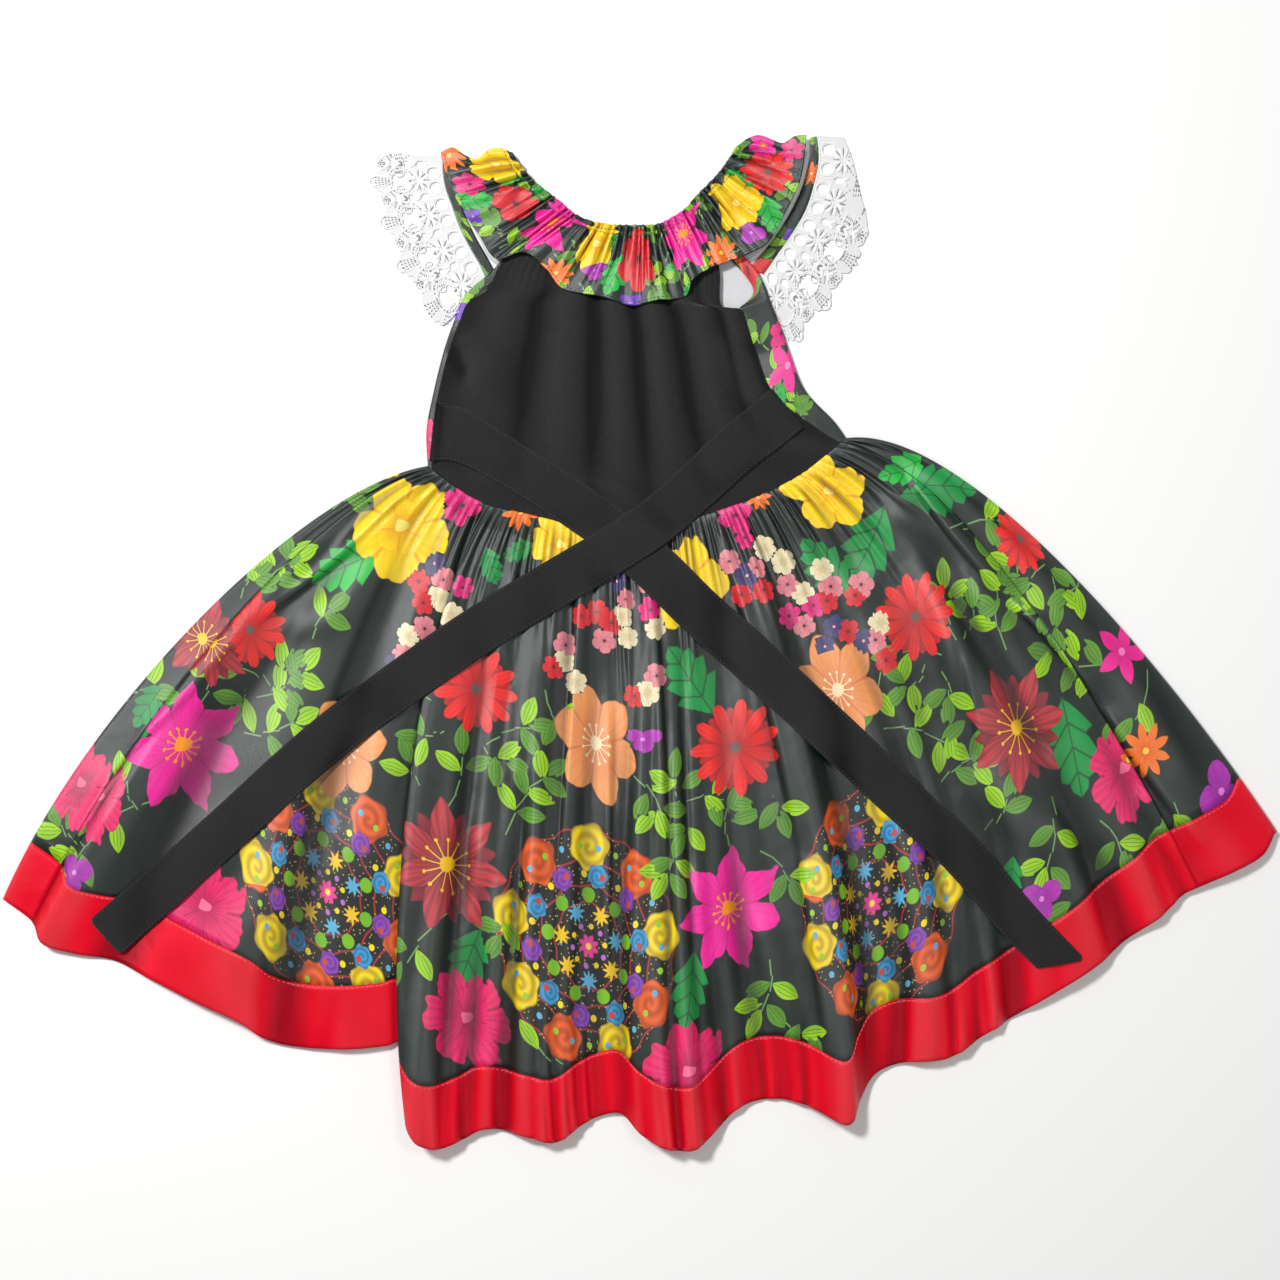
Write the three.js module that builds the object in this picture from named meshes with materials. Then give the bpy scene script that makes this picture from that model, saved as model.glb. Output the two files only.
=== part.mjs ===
// A girl's folklorico dress laid flat on its front, seen from the back.
// Millimetres, +Z up from the table, +Y from the hem to the neck, +X to the right of the
// laid dress. The origin is on the table under the middle of the dress's outline.
// The printed front lies on the table and its sides turn up over the edges. The black back
// bodice and the printed back skirt lie on it. Each piece is a wall of cloth of its own.
import * as THREE from "three";

// Driving sizes
const CLOTH = 1.2; // wall of one layer of cloth
const SEAM = 0.4; // gap between pieces where they are sewn together
const LAYER = CLOTH + 0.3; // height that one more layer adds to the pile
const FLOOR = CLOTH / 2; // middle of a wall that rests on the table
const RIBBON = 42; // satin band round the hem
const WAIST_LENGTH = 306; // waist seam across the laid dress
const WAIST_RISE = 4.2; // middle of the back's wall at the waist seam
const SKIRT_GATHERS = 24; // gathers of the back skirt at the waist seam
const RUFFLE_GATHERS = 30; // gathers of the neck ruffle along its elastic
const TIE_WALL = 1.6; // a tie is folded cloth, sewn flat
const TIE_LIFT = 0.5; // gap under a tie, which the steps of its wall need
const LACE_WALL = 1.1;
const HEM_OVER_WAIST = 3.7; // length of the back's hem over that of the waist seam
const WAIST_HANDLE = 0.2; // shares of a fold line's length that its two ends steer
const HEM_HANDLE = 0.35;

// Turns rows of numbers into one list for each named column.
function table(names, rows) {
  return Object.fromEntries(names.map((name, k) => [name, rows.map((row) => row[k])]));
}

// The waist seam: equal steps along it, from the left end to the right end.
const WAIST = table(["x", "y"], [
  [-144, 119],
  [-111, 96],
  [-75, 86],
  [-38, 78],
  [1, 75],
  [38, 84],
  [75, 96],
  [110, 113],
  [141, 138],
]);

// Fold lines of the upper layer of the skirt, from the left edge to the right edge. Each
// leaves the waist at a share of its length and reaches the hem at x, y. Spread and fall are
// the degrees that it turns from the straight way there, at the waist and at the hem. Mid and
// hem are the heights of the cloth half way down and at the hem.
const FOLD = table(["waist", "x", "y", "spread", "fall", "mid", "hem"], [
  [0.0, -433.5, -176, -37, 21, 5, 4.6],
  [0.02, -413, -191, -36, 16, 6.5, 5],
  [0.026, -405, -206, -34, 16, 7, 9],
  [0.032, -384, -213, -32, 15, 4, 6],
  [0.039, -358, -218, -30, 15, 3.4, 3.4],
  [0.046, -333, -230, -29, 15, 6, 6],
  [0.054, -302, -245, -28, 14, 9, 9],
  [0.062, -271, -259, -27, 14, 9, 12],
  [0.07, -256, -270, -26, 14, 5, 6],
  [0.08, -237, -276, -25, 14, 3.2, 3],
  [0.1, -203, -278, -24, 14, 5, 7],
  [0.12, -173, -276, -24, 15, 4.5, 5],
  [0.132, -160, -274, -24, 15, 3.2, 2.8],
  [0.14, -128, -287, -24, 15, 2.8, 2.6],
  [0.15, -133, -309, -25, 15, 7.5, 9],
  [0.158, -157, -321, -26, 15, 10, 13],
  [0.172, -152, -338, -25, 14, 11, 17],
  [0.19, -137, -344, -23, 13, 11, 16],
  [0.215, -120, -339, -20, 11, 8, 9],
  [0.24, -103, -332, -17, 9, 5, 5],
  [0.28, -74, -337, -13, 7, 7, 11],
  [0.32, -56, -340, -9, 5, 9, 13],
  [0.36, -40, -330, -6, 3, 6, 7],
  [0.395, -27, -324, -3, 2, 3.2, 3.2],
  [0.425, -12, -322, 0, 1, 5, 5],
  [0.455, 2, -335, 1, 0, 8, 12],
  [0.49, 20, -344, 2, -1, 10, 16],
  [0.53, 38, -344, 2, -2, 9, 15],
  [0.57, 54, -331, 2, -2, 6, 8],
  [0.605, 70, -317, 4, -4, 3.6, 4],
  [0.64, 92, -312, 7, -6, 4, 3.4],
  [0.67, 115, -316, 9, -8, 7, 8],
  [0.7, 141, -327, 12, -10, 12, 18],
  [0.72, 150, -311, 14, -11, 7, 9],
  [0.735, 161, -295, 15, -12, 3.2, 3],
  [0.76, 181, -287, 17, -12, 5, 6],
  [0.79, 211, -283, 19, -13, 8, 10],
  [0.82, 235, -268, 21, -13, 6, 7],
  [0.85, 254, -257, 24, -13, 4, 3.6],
  [0.88, 286, -237, 27, -13, 8, 9],
  [0.905, 313, -219, 30, -13, 9, 10],
  [0.925, 330, -205, 33, -13, 4.4, 3.4],
  [0.942, 354, -188, 37, -12, 6, 8],
  [0.962, 369, -174, 40, -12, 7, 5],
  [0.98, 380, -168, 43, -12, 6.5, 6],
  [0.987, 406, -156, 46, -13, 9, 9],
  [0.994, 425, -145, 49, -14, 6, 7],
  [1.0, 434.5, -130, 51, -14, 5, 4.6],
]);
const LEFT_SEAM = 1; // rows of FOLD where the back skirt is sewn to the front skirt
const RIGHT_SEAM = 44;
const LAST_FOLD = FOLD.x.length - 1;

// Lines of the front skirt on the table, under the back, between its two edges.
const UNDER = table(["waist", "x", "y", "spread", "fall"], [
  [0.02, -392, -198, -36, 16],
  [0.04, -340, -219, -31, 15],
  [0.09, -225, -264, -25, 14],
  [0.15, -150, -278, -24, 15],
  [0.27, -95, -320, -13, 7],
  [0.39, -27, -314, -3, 2],
  [0.53, 38, -328, 2, -2],
  [0.66, 110, -300, 9, -8],
  [0.78, 205, -272, 18, -12],
  [0.88, 290, -224, 27, -13],
  [0.94, 355, -180, 36, -12],
  [0.98, 398, -152, 44, -12],
]);

// The black back bodice from the waist up to the neck: the left end, middle and right end of
// the line across it at each level, and the heights of its middle and its ends.
const BACK = table(["leftX", "leftY", "midX", "midY", "rightX", "rightY", "rise", "edge"], [
  [-141, 114, 1, 75, 137, 131, 4.2, 4.2],
  [-141, 143, -1, 109, 113, 149, 5.4, 4.2],
  [-136, 170, -3, 147, 91, 169, 6.4, 4.2],
  [-129, 198, -6, 183, 79.5, 197, 6.6, 4.2],
  [-122, 217, -8, 208, 73, 217, 6.4, 4.6],
  [-116, 230, -10, 225, 69, 225, 6.4, 5],
  [-103, 239, -11, 235, 56, 228, 6.2, 5.5],
  [-95, 255, -12, 249, 55, 251, 6, 5.5],
  [-81, 276, -12, 262, 50, 274, 5.8, 5.4],
  [-67, 292, -13, 272, 39, 290, 5.6, 5.2],
]);
// Soft upright folds of the back bodice: place across it, half width and height.
const BODICE_FOLDS = table(["at", "wide", "high"], [
  [0.1, 0.06, 1.4],
  [0.3, 0.07, 3.4],
  [0.46, 0.05, 2.6],
  [0.6, 0.06, 2.2],
  [0.78, 0.08, 3.8],
  [0.93, 0.04, 1.2],
]);

// The printed front bodice: its left and right edges, where each edge's turned strip ends on
// the upper side, the middle of its lower layer, how high that layer lies, and the radius that
// its edges turn at.
const FRONT = table(
  ["leftX", "leftY", "leftTurnX", "leftTurnY", "midX", "midY", "rightX", "rightY",
    "rightTurnX", "rightTurnY", "low", "roll"],
  [
    [-143.6, 119, -141, 114, 1, 75, 140.6, 139, 137, 131, FLOOR, 1.5],
    [-145, 143, -141, 143, -1, 109, 132.5, 150, 113, 149, FLOOR, 1.5],
    [-140, 170, -136, 170, -3, 146, 113, 171, 91, 169, FLOOR, 1.5],
    [-133, 198, -129, 198, -6, 182, 102.5, 197, 79.5, 197, FLOOR, 1.5],
    [-126, 218, -122, 217, -8, 207, 95.6, 216, 73, 217, FLOOR + 1, 1.3],
    [-121, 231, -116, 230, -10, 222, 89.6, 231, 69, 225, FLOOR + LAYER, 1],
    [-113, 241, -107, 238, -11, 232, 86.5, 240, 78, 237, FLOOR + LAYER, 0.75],
    [-99, 253, -94, 249, -12, 244, 79, 254, 71, 250, FLOOR + LAYER, 0.75],
    [-84, 273, -79, 268, -12, 256, 62, 270, 55, 266, FLOOR + LAYER, 0.75],
    [-69, 288, -64, 283, -13, 266, 42, 285, 36, 281, FLOOR + LAYER, 0.75],
  ],
);
const ARMHOLE = 5; // the last level of the bodice that has a side seam

// The neck ruffle of the back, from the left shoulder round the neck to the right shoulder:
// its gathered neck edge, its loose edge, and the heights of both.
const RUFFLE = table(["neckX", "neckY", "edgeX", "edgeY", "neck", "edge"], [
  [-86, 332, -135, 330, 4, 4],
  [-78, 320, -129, 311, 6.6, 6],
  [-70, 311, -120.5, 293, 8, 8],
  [-61, 304, -109, 276, 8, 7],
  [-52, 297, -97, 259, 8, 8],
  [-44, 290, -78, 263, 8, 10],
  [-33, 285, -63, 252, 8, 8],
  [-23, 283, -51, 238, 8, 9],
  [-13, 282, -27, 233, 8, 12],
  [-3, 282, -5, 227, 8, 9.4],
  [6, 282, 11, 230, 8, 12],
  [14, 283, 31, 233, 8, 9],
  [22, 287, 37, 245, 8, 11],
  [31, 293, 52, 254, 8, 9],
  [39, 302, 71, 261, 8, 8],
  [48, 311, 88, 270, 8, 9],
  [56, 320, 99, 290, 8, 7],
  [62, 329, 109, 311, 6.6, 8],
  [66, 336, 114, 334, 4, 4],
]);
// The shoulders' outline waves: across the ruffle's width, how far each stands out.
const SHOULDER = table(["left", "right"], [
  [0, 0],
  [3.4, 6],
  [2.6, 8.4],
  [-3.5, 6],
  [-0.5, 3.6],
  [5, 8.6],
  [2, 9.8],
]);

// The front half of the neck ruffle, on the table under everything else.
const UNDER_RUFFLE = table(["neckX", "neckY", "edgeX", "edgeY"], [
  [-85, 329, -128, 329],
  [-77, 319, -123.5, 309],
  [-69, 309, -118.6, 292],
  [-61, 301, -109.4, 275],
  [-52, 293, -96.5, 256],
  [-32, 279, -60, 247],
  [-13, 275, -27, 236],
  [7, 278, 16, 235],
  [22, 282, 52, 248],
  [40, 300, 83, 266],
  [48, 309, 94, 281],
  [55, 320, 103, 297],
  [61, 328, 110, 314],
  [65, 334, 115, 334],
]);

// The armhole bands, from the shoulder down: outer and inner edges.
const LEFT_BAND = table(["outX", "outY", "inX", "inY"], [
  [-134, 332, -130, 331],
  [-132.4, 312, -126, 311],
  [-127, 296, -120.5, 295],
  [-122, 282, -112.5, 277],
  [-115, 268, -104.5, 263],
  [-108, 256, -97.5, 251],
  [-104, 247, -90, 246],
]);
const RIGHT_BAND = table(["outX", "outY", "inX", "inY"], [
  [121, 344, 117, 343],
  [122.5, 329, 116.5, 329],
  [119, 311, 112, 311],
  [114, 295, 106, 297],
  [106, 280.5, 98, 283],
  [96, 266, 88, 269],
  [85, 250, 75, 254],
]);

// The lace outside the armhole bands, one row at the start of each repeat of its pattern, from
// the repeat above the shoulder down: the share of the band's outer edge that the repeat starts
// at, the direction it points in, in degrees, and the depth that shows at that place.
const LEFT_LACE = table(["at", "angle", "depth"], [
  [-0.15, 176, 50],
  [0.08, 179, 50],
  [0.31, 185, 50],
  [0.56, 196, 50],
  [0.8, 208, 50],
  [1.02, 226, 46],
]);
const RIGHT_LACE = table(["at", "angle", "depth"], [
  [-0.2, 0, 14],
  [0.02, -3, 19],
  [0.27, -9, 29],
  [0.52, -22, 46],
  [0.73, -40, 50],
  [0.92, -54, 50],
  [1.08, -63, 50],
]);

// The middle lines of the ties, from the side seams to their ends.
const LEFT_TIE = table(["x", "y", "width"], [
  [-140, 142, 40],
  [-125, 140, 36],
  [-108, 132, 32],
  [-81, 116, 30],
  [-54, 99, 30],
  [-22, 77, 31],
  [7, 53, 32],
  [41, 20, 32],
  [82, -17, 32],
  [137, -68, 31],
  [177, -106, 30],
  [218, -144, 29],
  [256, -188, 28],
  [286, -219, 27],
]);
const RIGHT_TIE = table(["x", "y", "width"], [
  [101, 158, 34],
  [84, 144, 34],
  [66, 130, 33],
  [38, 104, 32],
  [10, 80, 32],
  [-22, 59, 32],
  [-81, 24, 32],
  [-135, -11, 32],
  [-210, -66, 31],
  [-285, -133, 31],
  [-363, -202, 31],
]);

const lerp = THREE.MathUtils.lerp;
const smooth = (x, low, high) => THREE.MathUtils.smoothstep(x, low, high);
const steps = (count) => Array.from({ length: count + 1 }, (_, k) => k / count);

// A smooth curve through a column's values, read at a row number with a fraction.
function along(values, at) {
  const last = values.length - 1;
  const i = Math.min(Math.max(Math.floor(at), 0), last - 1);
  const f = at - i;
  const [a, b] = [values[Math.max(i - 1, 0)], values[i]];
  const [c, d] = [values[i + 1], values[Math.min(i + 2, last)]];
  return b + 0.5 * f * (c - a + f * (2 * a - 5 * b + 4 * c - d + f * (3 * (b - c) + d - a)));
}

function waistPoint(share) {
  const at = share * (WAIST.x.length - 1);
  return new THREE.Vector2(along(WAIST.x, at), along(WAIST.y, at));
}

// The plan position, t of the way down a line from the waist to the hem.
function rayPoint(lines, row, t) {
  const start = waistPoint(along(lines.waist, row));
  const end = new THREE.Vector2(along(lines.x, row), along(lines.y, row));
  const chord = end.clone().sub(start);
  const turned = (degrees, share) =>
    chord.clone().multiplyScalar(share)
      .rotateAround(new THREE.Vector2(), THREE.MathUtils.degToRad(degrees));
  const curve = new THREE.CubicBezierCurve(
    start,
    start.clone().add(turned(along(lines.spread, row), WAIST_HANDLE)),
    end.clone().sub(turned(along(lines.fall, row), HEM_HANDLE)),
    end,
  );
  return curve.getPoint(t);
}

// The height that the gathers add below the waist seam. They start at the seam, are fully
// grown a little below it and have died out a third of the way down. No two are alike.
const GATHER_HEIGHT = 1.35;
function gatherHeight(waist, t) {
  const fade = 1 - smooth(t, 0.06, 0.36);
  const grown = 0.1 + 0.9 * smooth(t, 0, 0.06);
  const gather = SKIRT_GATHERS * waist;
  const uneven = 0.8 + 0.2 * Math.sin(2.3 * gather);
  return GATHER_HEIGHT * fade * grown * uneven * (1 + Math.cos(2 * Math.PI * gather));
}

// The upper layer of the skirt: the middle of its wall on fold line row, t of the way down.
function skirtTop(row, t) {
  const plan = rayPoint(FOLD, row, t);
  const [mid, hem] = [along(FOLD.mid, row), along(FOLD.hem, row)];
  const base = lerp(lerp(WAIST_RISE, mid, smooth(t, 0, 0.5)), hem, smooth(t, 0.4, 1));
  return new THREE.Vector3(plan.x, plan.y, base + gatherHeight(along(FOLD.waist, row), t));
}

// How far down a fold line the ribbon's seam is.
function ribbonStart(lines, row) {
  const chord = waistPoint(along(lines.waist, row))
    .distanceTo(new THREE.Vector2(along(lines.x, row), along(lines.y, row)));
  return 1 - RIBBON / (3 * HEM_HANDLE * chord);
}

// The direction out of the cloth at each point of a grid of middle points, grid[across][down].
// Columns in upright point straight up, as two panels meet at a side seam.
function outOfCloth(grid, upright = []) {
  const columns = grid.length;
  const rows = grid[0].length;
  const point = (i, j) =>
    grid[THREE.MathUtils.clamp(i, 0, columns - 1)][THREE.MathUtils.clamp(j, 0, rows - 1)];
  return grid.map((column, i) => column.map((_, j) => {
    const across = point(i + 1, j).clone().sub(point(i - 1, j));
    const down = point(i, j + 1).clone().sub(point(i, j - 1));
    const normal = down.cross(across).normalize();
    return upright.includes(i) ? new THREE.Vector3(0, 0, Math.sign(normal.z)) : normal;
  }));
}

// A closed wall of cloth round a grid of middle points.
function wall(grid, thickness, normal = outOfCloth(grid)) {
  const columns = grid.length;
  const rows = grid[0].length;
  const positions = [];
  for (const side of [1, -1])
    for (let i = 0; i < columns; i++)
      for (let j = 0; j < rows; j++)
        positions.push(
          ...grid[i][j].clone().addScaledVector(normal[i][j], (side * thickness) / 2),
        );
  const index = [];
  const quad = (a, b, c, d) => index.push(a, b, c, a, c, d);
  const outer = (i, j) => i * rows + j;
  const inner = (i, j) => (columns + i) * rows + j;
  for (let i = 0; i < columns - 1; i++)
    for (let j = 0; j < rows - 1; j++) {
      quad(outer(i, j), outer(i, j + 1), outer(i + 1, j + 1), outer(i + 1, j));
      quad(inner(i, j), inner(i + 1, j), inner(i + 1, j + 1), inner(i, j + 1));
    }
  for (let i = 0; i < columns - 1; i++) {
    quad(outer(i + 1, 0), inner(i + 1, 0), inner(i, 0), outer(i, 0));
    quad(outer(i + 1, rows - 1), outer(i, rows - 1), inner(i, rows - 1), inner(i + 1, rows - 1));
  }
  for (let j = 0; j < rows - 1; j++) {
    quad(outer(0, j + 1), outer(0, j), inner(0, j), inner(0, j + 1));
    quad(
      outer(columns - 1, j + 1), inner(columns - 1, j + 1),
      inner(columns - 1, j), outer(columns - 1, j),
    );
  }
  const geometry = new THREE.BufferGeometry();
  geometry.setAttribute("position", new THREE.Float32BufferAttribute(positions, 3));
  geometry.setIndex(index);
  geometry.computeVertexNormals();
  return geometry;
}

// One panel of a sewn surface: the rows from first to last, drawn in by half the gap of a
// seam at its sewn edges.
function panel(grid, normal, first, last, { sides = false, top = false, bottom = false }) {
  const draw = (from, to) => from.clone().add(to.clone().sub(from).setLength(SEAM / 2));
  const out = grid.map((column) => column.slice(first, last + 1));
  const end = out.length - 1;
  if (sides)
    for (const [from, to] of [[0, 1], [end, end - 1]])
      out[from] = out[from].map((p, j) => draw(p, out[to][j]));
  out.forEach((column) => {
    if (top) column[0] = draw(column[0], column[1]);
    if (bottom) column.push(draw(column.pop(), column.at(-2)));
  });
  return wall(out, CLOTH, normal.map((column) => column.slice(first, last + 1)));
}

const satin = (color) => new THREE.MeshStandardMaterial({ color, roughness: 0.4, metalness: 0 });
const matt = (color) => new THREE.MeshStandardMaterial({ color, roughness: 0.85, metalness: 0 });
const printedSatin = satin(0x2e3a35);
const redSatin = satin(0xe00020);
const blackCrepe = matt(0x1b1b1c);
const whiteLace = matt(0xf4f4f2);

const dress = new THREE.Group();

function add(name, geometry, material) {
  const mesh = new THREE.Mesh(geometry, material);
  mesh.name = name;
  dress.add(mesh);
  return mesh;
}

// Columns of the upper skirt: rows of FOLD spaced so that both the gathers at the waist and
// the folds at the hem get their share.
const SKIRT_COLUMNS = 104;
const WAIST_SHARE = 0.6; // weight of the waist in that spacing
function skirtColumns() {
  const reach = [0];
  for (let i = LEFT_SEAM; i < RIGHT_SEAM; i++) {
    const waist = (FOLD.waist[i + 1] - FOLD.waist[i]) * WAIST_LENGTH;
    const hem = Math.hypot(FOLD.x[i + 1] - FOLD.x[i], FOLD.y[i + 1] - FOLD.y[i],
      FOLD.hem[i + 1] - FOLD.hem[i]);
    reach.push(reach.at(-1) + WAIST_SHARE * waist * HEM_OVER_WAIST + (1 - WAIST_SHARE) * hem);
  }
  return steps(SKIRT_COLUMNS).map((share) => {
    const target = share * reach.at(-1);
    const i = Math.max(reach.findIndex((r, k) => k > 0 && r >= target - 1e-9), 1);
    return LEFT_SEAM + i - 1 + (target - reach[i - 1]) / (reach[i] - reach[i - 1]);
  });
}

// Back skirt and its ribbon
const DOWN_SKIRT = [0, 0.06, 0.14, 0.24, 0.38, 0.55, 0.72];
function downSkirt(row) {
  const seam = ribbonStart(FOLD, row);
  return [...DOWN_SKIRT, seam, (seam + 1) / 2, 1];
}
const backGrid = skirtColumns().map((row) => downSkirt(row).map((t) => skirtTop(row, t)));
const backOut = outOfCloth(backGrid, [0, SKIRT_COLUMNS]);
const SKIRT_ROWS = DOWN_SKIRT.length;
const sewnAllRound = { sides: true, top: true, bottom: true };
const sewnOverHem = { sides: true, top: true };
const backSkirt = add(
  "skirt_back",
  panel(backGrid, backOut, 0, SKIRT_ROWS, sewnAllRound),
  printedSatin,
);
const backRibbon = add(
  "hem_ribbon_back",
  panel(backGrid, backOut, SKIRT_ROWS, SKIRT_ROWS + 2, sewnOverHem),
  redSatin,
);

// One line across a front panel: from the seam on the upper side, round the left edge, across
// the table, round the right edge and back to the seam on the upper side.
const TURN = [90, 45, 0, -45, -90];
function frontSection({ seams, edges, outward, under, roll, low, wraps, lay }) {
  const inset = edges.map((edge, k) =>
    edge.clone().addScaledVector(outward[k], -(roll + CLOTH / 2)));
  const wrap = (k) => {
    const end = new THREE.Vector3(inset[k].x, inset[k].y, low + 2 * roll);
    const laid = lay ? (share) => lay(k, share) : (share) => seams[k].clone().lerp(end, share);
    const off = end.clone().sub(laid(1));
    return steps(wraps[k]).slice(0, -1)
      .map((share) => laid(share).addScaledVector(off, share ** 2));
  };
  const turn = (k) =>
    TURN.map((degrees) => {
      const angle = THREE.MathUtils.degToRad(degrees);
      const plan = inset[k].clone().addScaledVector(outward[k], roll * Math.cos(angle));
      return new THREE.Vector3(plan.x, plan.y, low + roll * (1 + Math.sin(angle)));
    });
  return [
    ...wrap(0), ...turn(0),
    ...under(inset[0], inset[1]).map((p) => new THREE.Vector3(p.x, p.y, low)),
    ...turn(1).reverse(), ...wrap(1).reverse(),
  ];
}

// Points between the two edges of the front skirt, on the table. Each side has its own share
// of the way down.
const UNDER_COLUMNS = 22;
function underSkirt(down) {
  const last = UNDER.x.length - 1;
  return steps(UNDER_COLUMNS).map((share) =>
    rayPoint(UNDER, share * last, lerp(...down, share)));
}

const UNDER_SHARES = steps(UNDER_COLUMNS).map((share) =>
  along(UNDER.waist, share * (UNDER.waist.length - 1)));

function edgeOfSkirt(row, t, sideways) {
  const here = rayPoint(FOLD, row, t);
  const down = rayPoint(FOLD, row, t + 0.01).sub(rayPoint(FOLD, row, t - 0.01)).normalize();
  return { here, outward: new THREE.Vector2(down.y, -down.x).multiplyScalar(sideways) };
}

function skirtFrontSection(down) {
  const left = edgeOfSkirt(0, down[0], 1);
  const right = edgeOfSkirt(LAST_FOLD, down[1], -1);
  return frontSection({
    seams: [skirtTop(LEFT_SEAM, down[0]), skirtTop(RIGHT_SEAM, down[1])],
    edges: [left.here, right.here],
    outward: [left.outward, right.outward],
    under: () => underSkirt(down),
    roll: lerp(1.6, 2.4, smooth(down[0], 0, 0.3)),
    low: FLOOR,
    wraps: [2, 6],
    lay: (k, share) =>
      skirtTop(k ? lerp(RIGHT_SEAM, LAST_FOLD, share) : lerp(LEFT_SEAM, 0, share), down[k]),
  });
}

// Turns a list of sections into grid[across][down].
const across = (sections) => sections[0].map((_, i) => sections.map((section) => section[i]));

const bothSides = [LEFT_SEAM, RIGHT_SEAM].map((row) => downSkirt(row));
const frontGrid = across(bothSides[0].map((t, k) => skirtFrontSection([t, bothSides[1][k]])));
const frontOut = outOfCloth(frontGrid, [0, frontGrid.length - 1]);
add("skirt_front", panel(frontGrid, frontOut, 0, SKIRT_ROWS, sewnAllRound), printedSatin);
add(
  "hem_ribbon_front",
  panel(frontGrid, frontOut, SKIRT_ROWS, SKIRT_ROWS + 2, sewnOverHem),
  redSatin,
);

// A line across the bodice through three points, which becomes the waist seam, between two
// shares of its length, at level 0.
function bodiceLine(left, mid, right, share, level, ends) {
  const bend = (a, m, b) => a * (1 - share) * (1 - 2 * share) + 4 * m * share * (1 - share)
    + b * share * (2 * share - 1);
  const plan = new THREE.Vector2(bend(left.x, mid.x, right.x), bend(left.y, mid.y, right.y));
  return plan.lerp(waistPoint(lerp(...ends, share)), Math.max(0, 1 - level / 2) ** 2);
}

const BACK_COLUMNS = 30;
function bodiceBackPoint(share, level) {
  const value = (name) => along(BACK[name], level);
  const plan = bodiceLine(
    new THREE.Vector2(value("leftX"), value("leftY")),
    new THREE.Vector2(value("midX"), value("midY")),
    new THREE.Vector2(value("rightX"), value("rightY")),
    share, level, [FOLD.waist[LEFT_SEAM], FOLD.waist[RIGHT_SEAM]],
  );
  const crown = lerp(value("rise"), value("edge"), (2 * share - 1) ** 4);
  const fold = BODICE_FOLDS.at.reduce((sum, at, k) =>
    sum + BODICE_FOLDS.high[k] * Math.exp(-(((share - at) / BODICE_FOLDS.wide[k]) ** 2)), 0);
  const grown = smooth(level, 0, 3) * lerp(1, 0.3, smooth(level, 5, 7));
  return new THREE.Vector3(plan.x, plan.y, crown + fold * grown);
}
const bodiceBackGrid = steps(BACK_COLUMNS).map((share) =>
  BACK.rise.map((_, level) => bodiceBackPoint(share, level)));
const bodiceBack = add(
  "bodice_back",
  panel(bodiceBackGrid, outOfCloth(bodiceBackGrid, [0, BACK_COLUMNS]), 0,
    BACK.rise.length - 1, sewnOverHem),
  blackCrepe,
);

// The printed front bodice, which turns up over both sides.
function bodiceFrontSection(level) {
  const value = (name) => along(FRONT[name], level);
  const plan = (name) => new THREE.Vector2(value(name + "X"), value(name + "Y"));
  const [low, roll] = [value("low"), value("roll")];
  const turned = (name, side) => {
    const p = plan(name);
    if (level <= ARMHOLE) return bodiceBackPoint(side, level);
    return new THREE.Vector3(p.x, p.y, low + 2 * roll);
  };
  const outward = (side) => plan(side).sub(plan(`${side}Turn`)).normalize();
  return frontSection({
    seams: [turned("leftTurn", 0), turned("rightTurn", 1)],
    edges: [plan("left"), plan("right")],
    outward: [outward("left"), outward("right")],
    under: (a, b) =>
      UNDER_SHARES.map((share) => bodiceLine(a, plan("mid"), b, share, level, [0, 1])),
    roll, low, wraps: [1, 2],
  });
}
const bodiceFrontGrid = across(FRONT.low.map((_, level) => bodiceFrontSection(level)));
const bodiceFront = add(
  "bodice_front",
  panel(bodiceFrontGrid, outOfCloth(bodiceFrontGrid, [0, bodiceFrontGrid.length - 1]), 0,
    FRONT.low.length - 1, sewnOverHem),
  printedSatin,
);

// The neck ruffle: gathered along the neck, loose and waved along its other edge.
const RUFFLE_COLUMNS = 90;
const RUFFLE_ROWS = 5;
const RUFFLE_GATHER = 0.8; // height of its gathers at the neck
function rufflePoint(share, down) {
  const row = share * (RUFFLE.neckX.length - 1);
  const plan = new THREE.Vector2(
    lerp(along(RUFFLE.neckX, row), along(RUFFLE.edgeX, row), down),
    lerp(along(RUFFLE.neckY, row), along(RUFFLE.edgeY, row), down),
  );
  const shoulder = down * (SHOULDER.left.length - 1);
  plan.y += along(SHOULDER.left, shoulder) * Math.max(0, 1 - row) ** 2;
  plan.y += along(SHOULDER.right, shoulder) * Math.max(0, row - RUFFLE.neckX.length + 2) ** 2;
  const turn = 2 * Math.PI * RUFFLE_GATHERS * share;
  const inside = smooth(share, 0, 0.03) * (1 - smooth(share, 0.97, 1));
  const gather = RUFFLE_GATHER * inside * (1 - 0.55 * down) * Math.cos(turn);
  const base = lerp(along(RUFFLE.neck, row), along(RUFFLE.edge, row), down);
  return new THREE.Vector3(plan.x, plan.y, base + 1 - Math.cos(Math.PI * down) * 0.4 + gather);
}
const ruffleGrid = steps(RUFFLE_COLUMNS).map((share) =>
  steps(RUFFLE_ROWS).map((down) => rufflePoint(share, down)));
const ruffle = add("neck_ruffle_back", wall(ruffleGrid, CLOTH), printedSatin);

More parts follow.
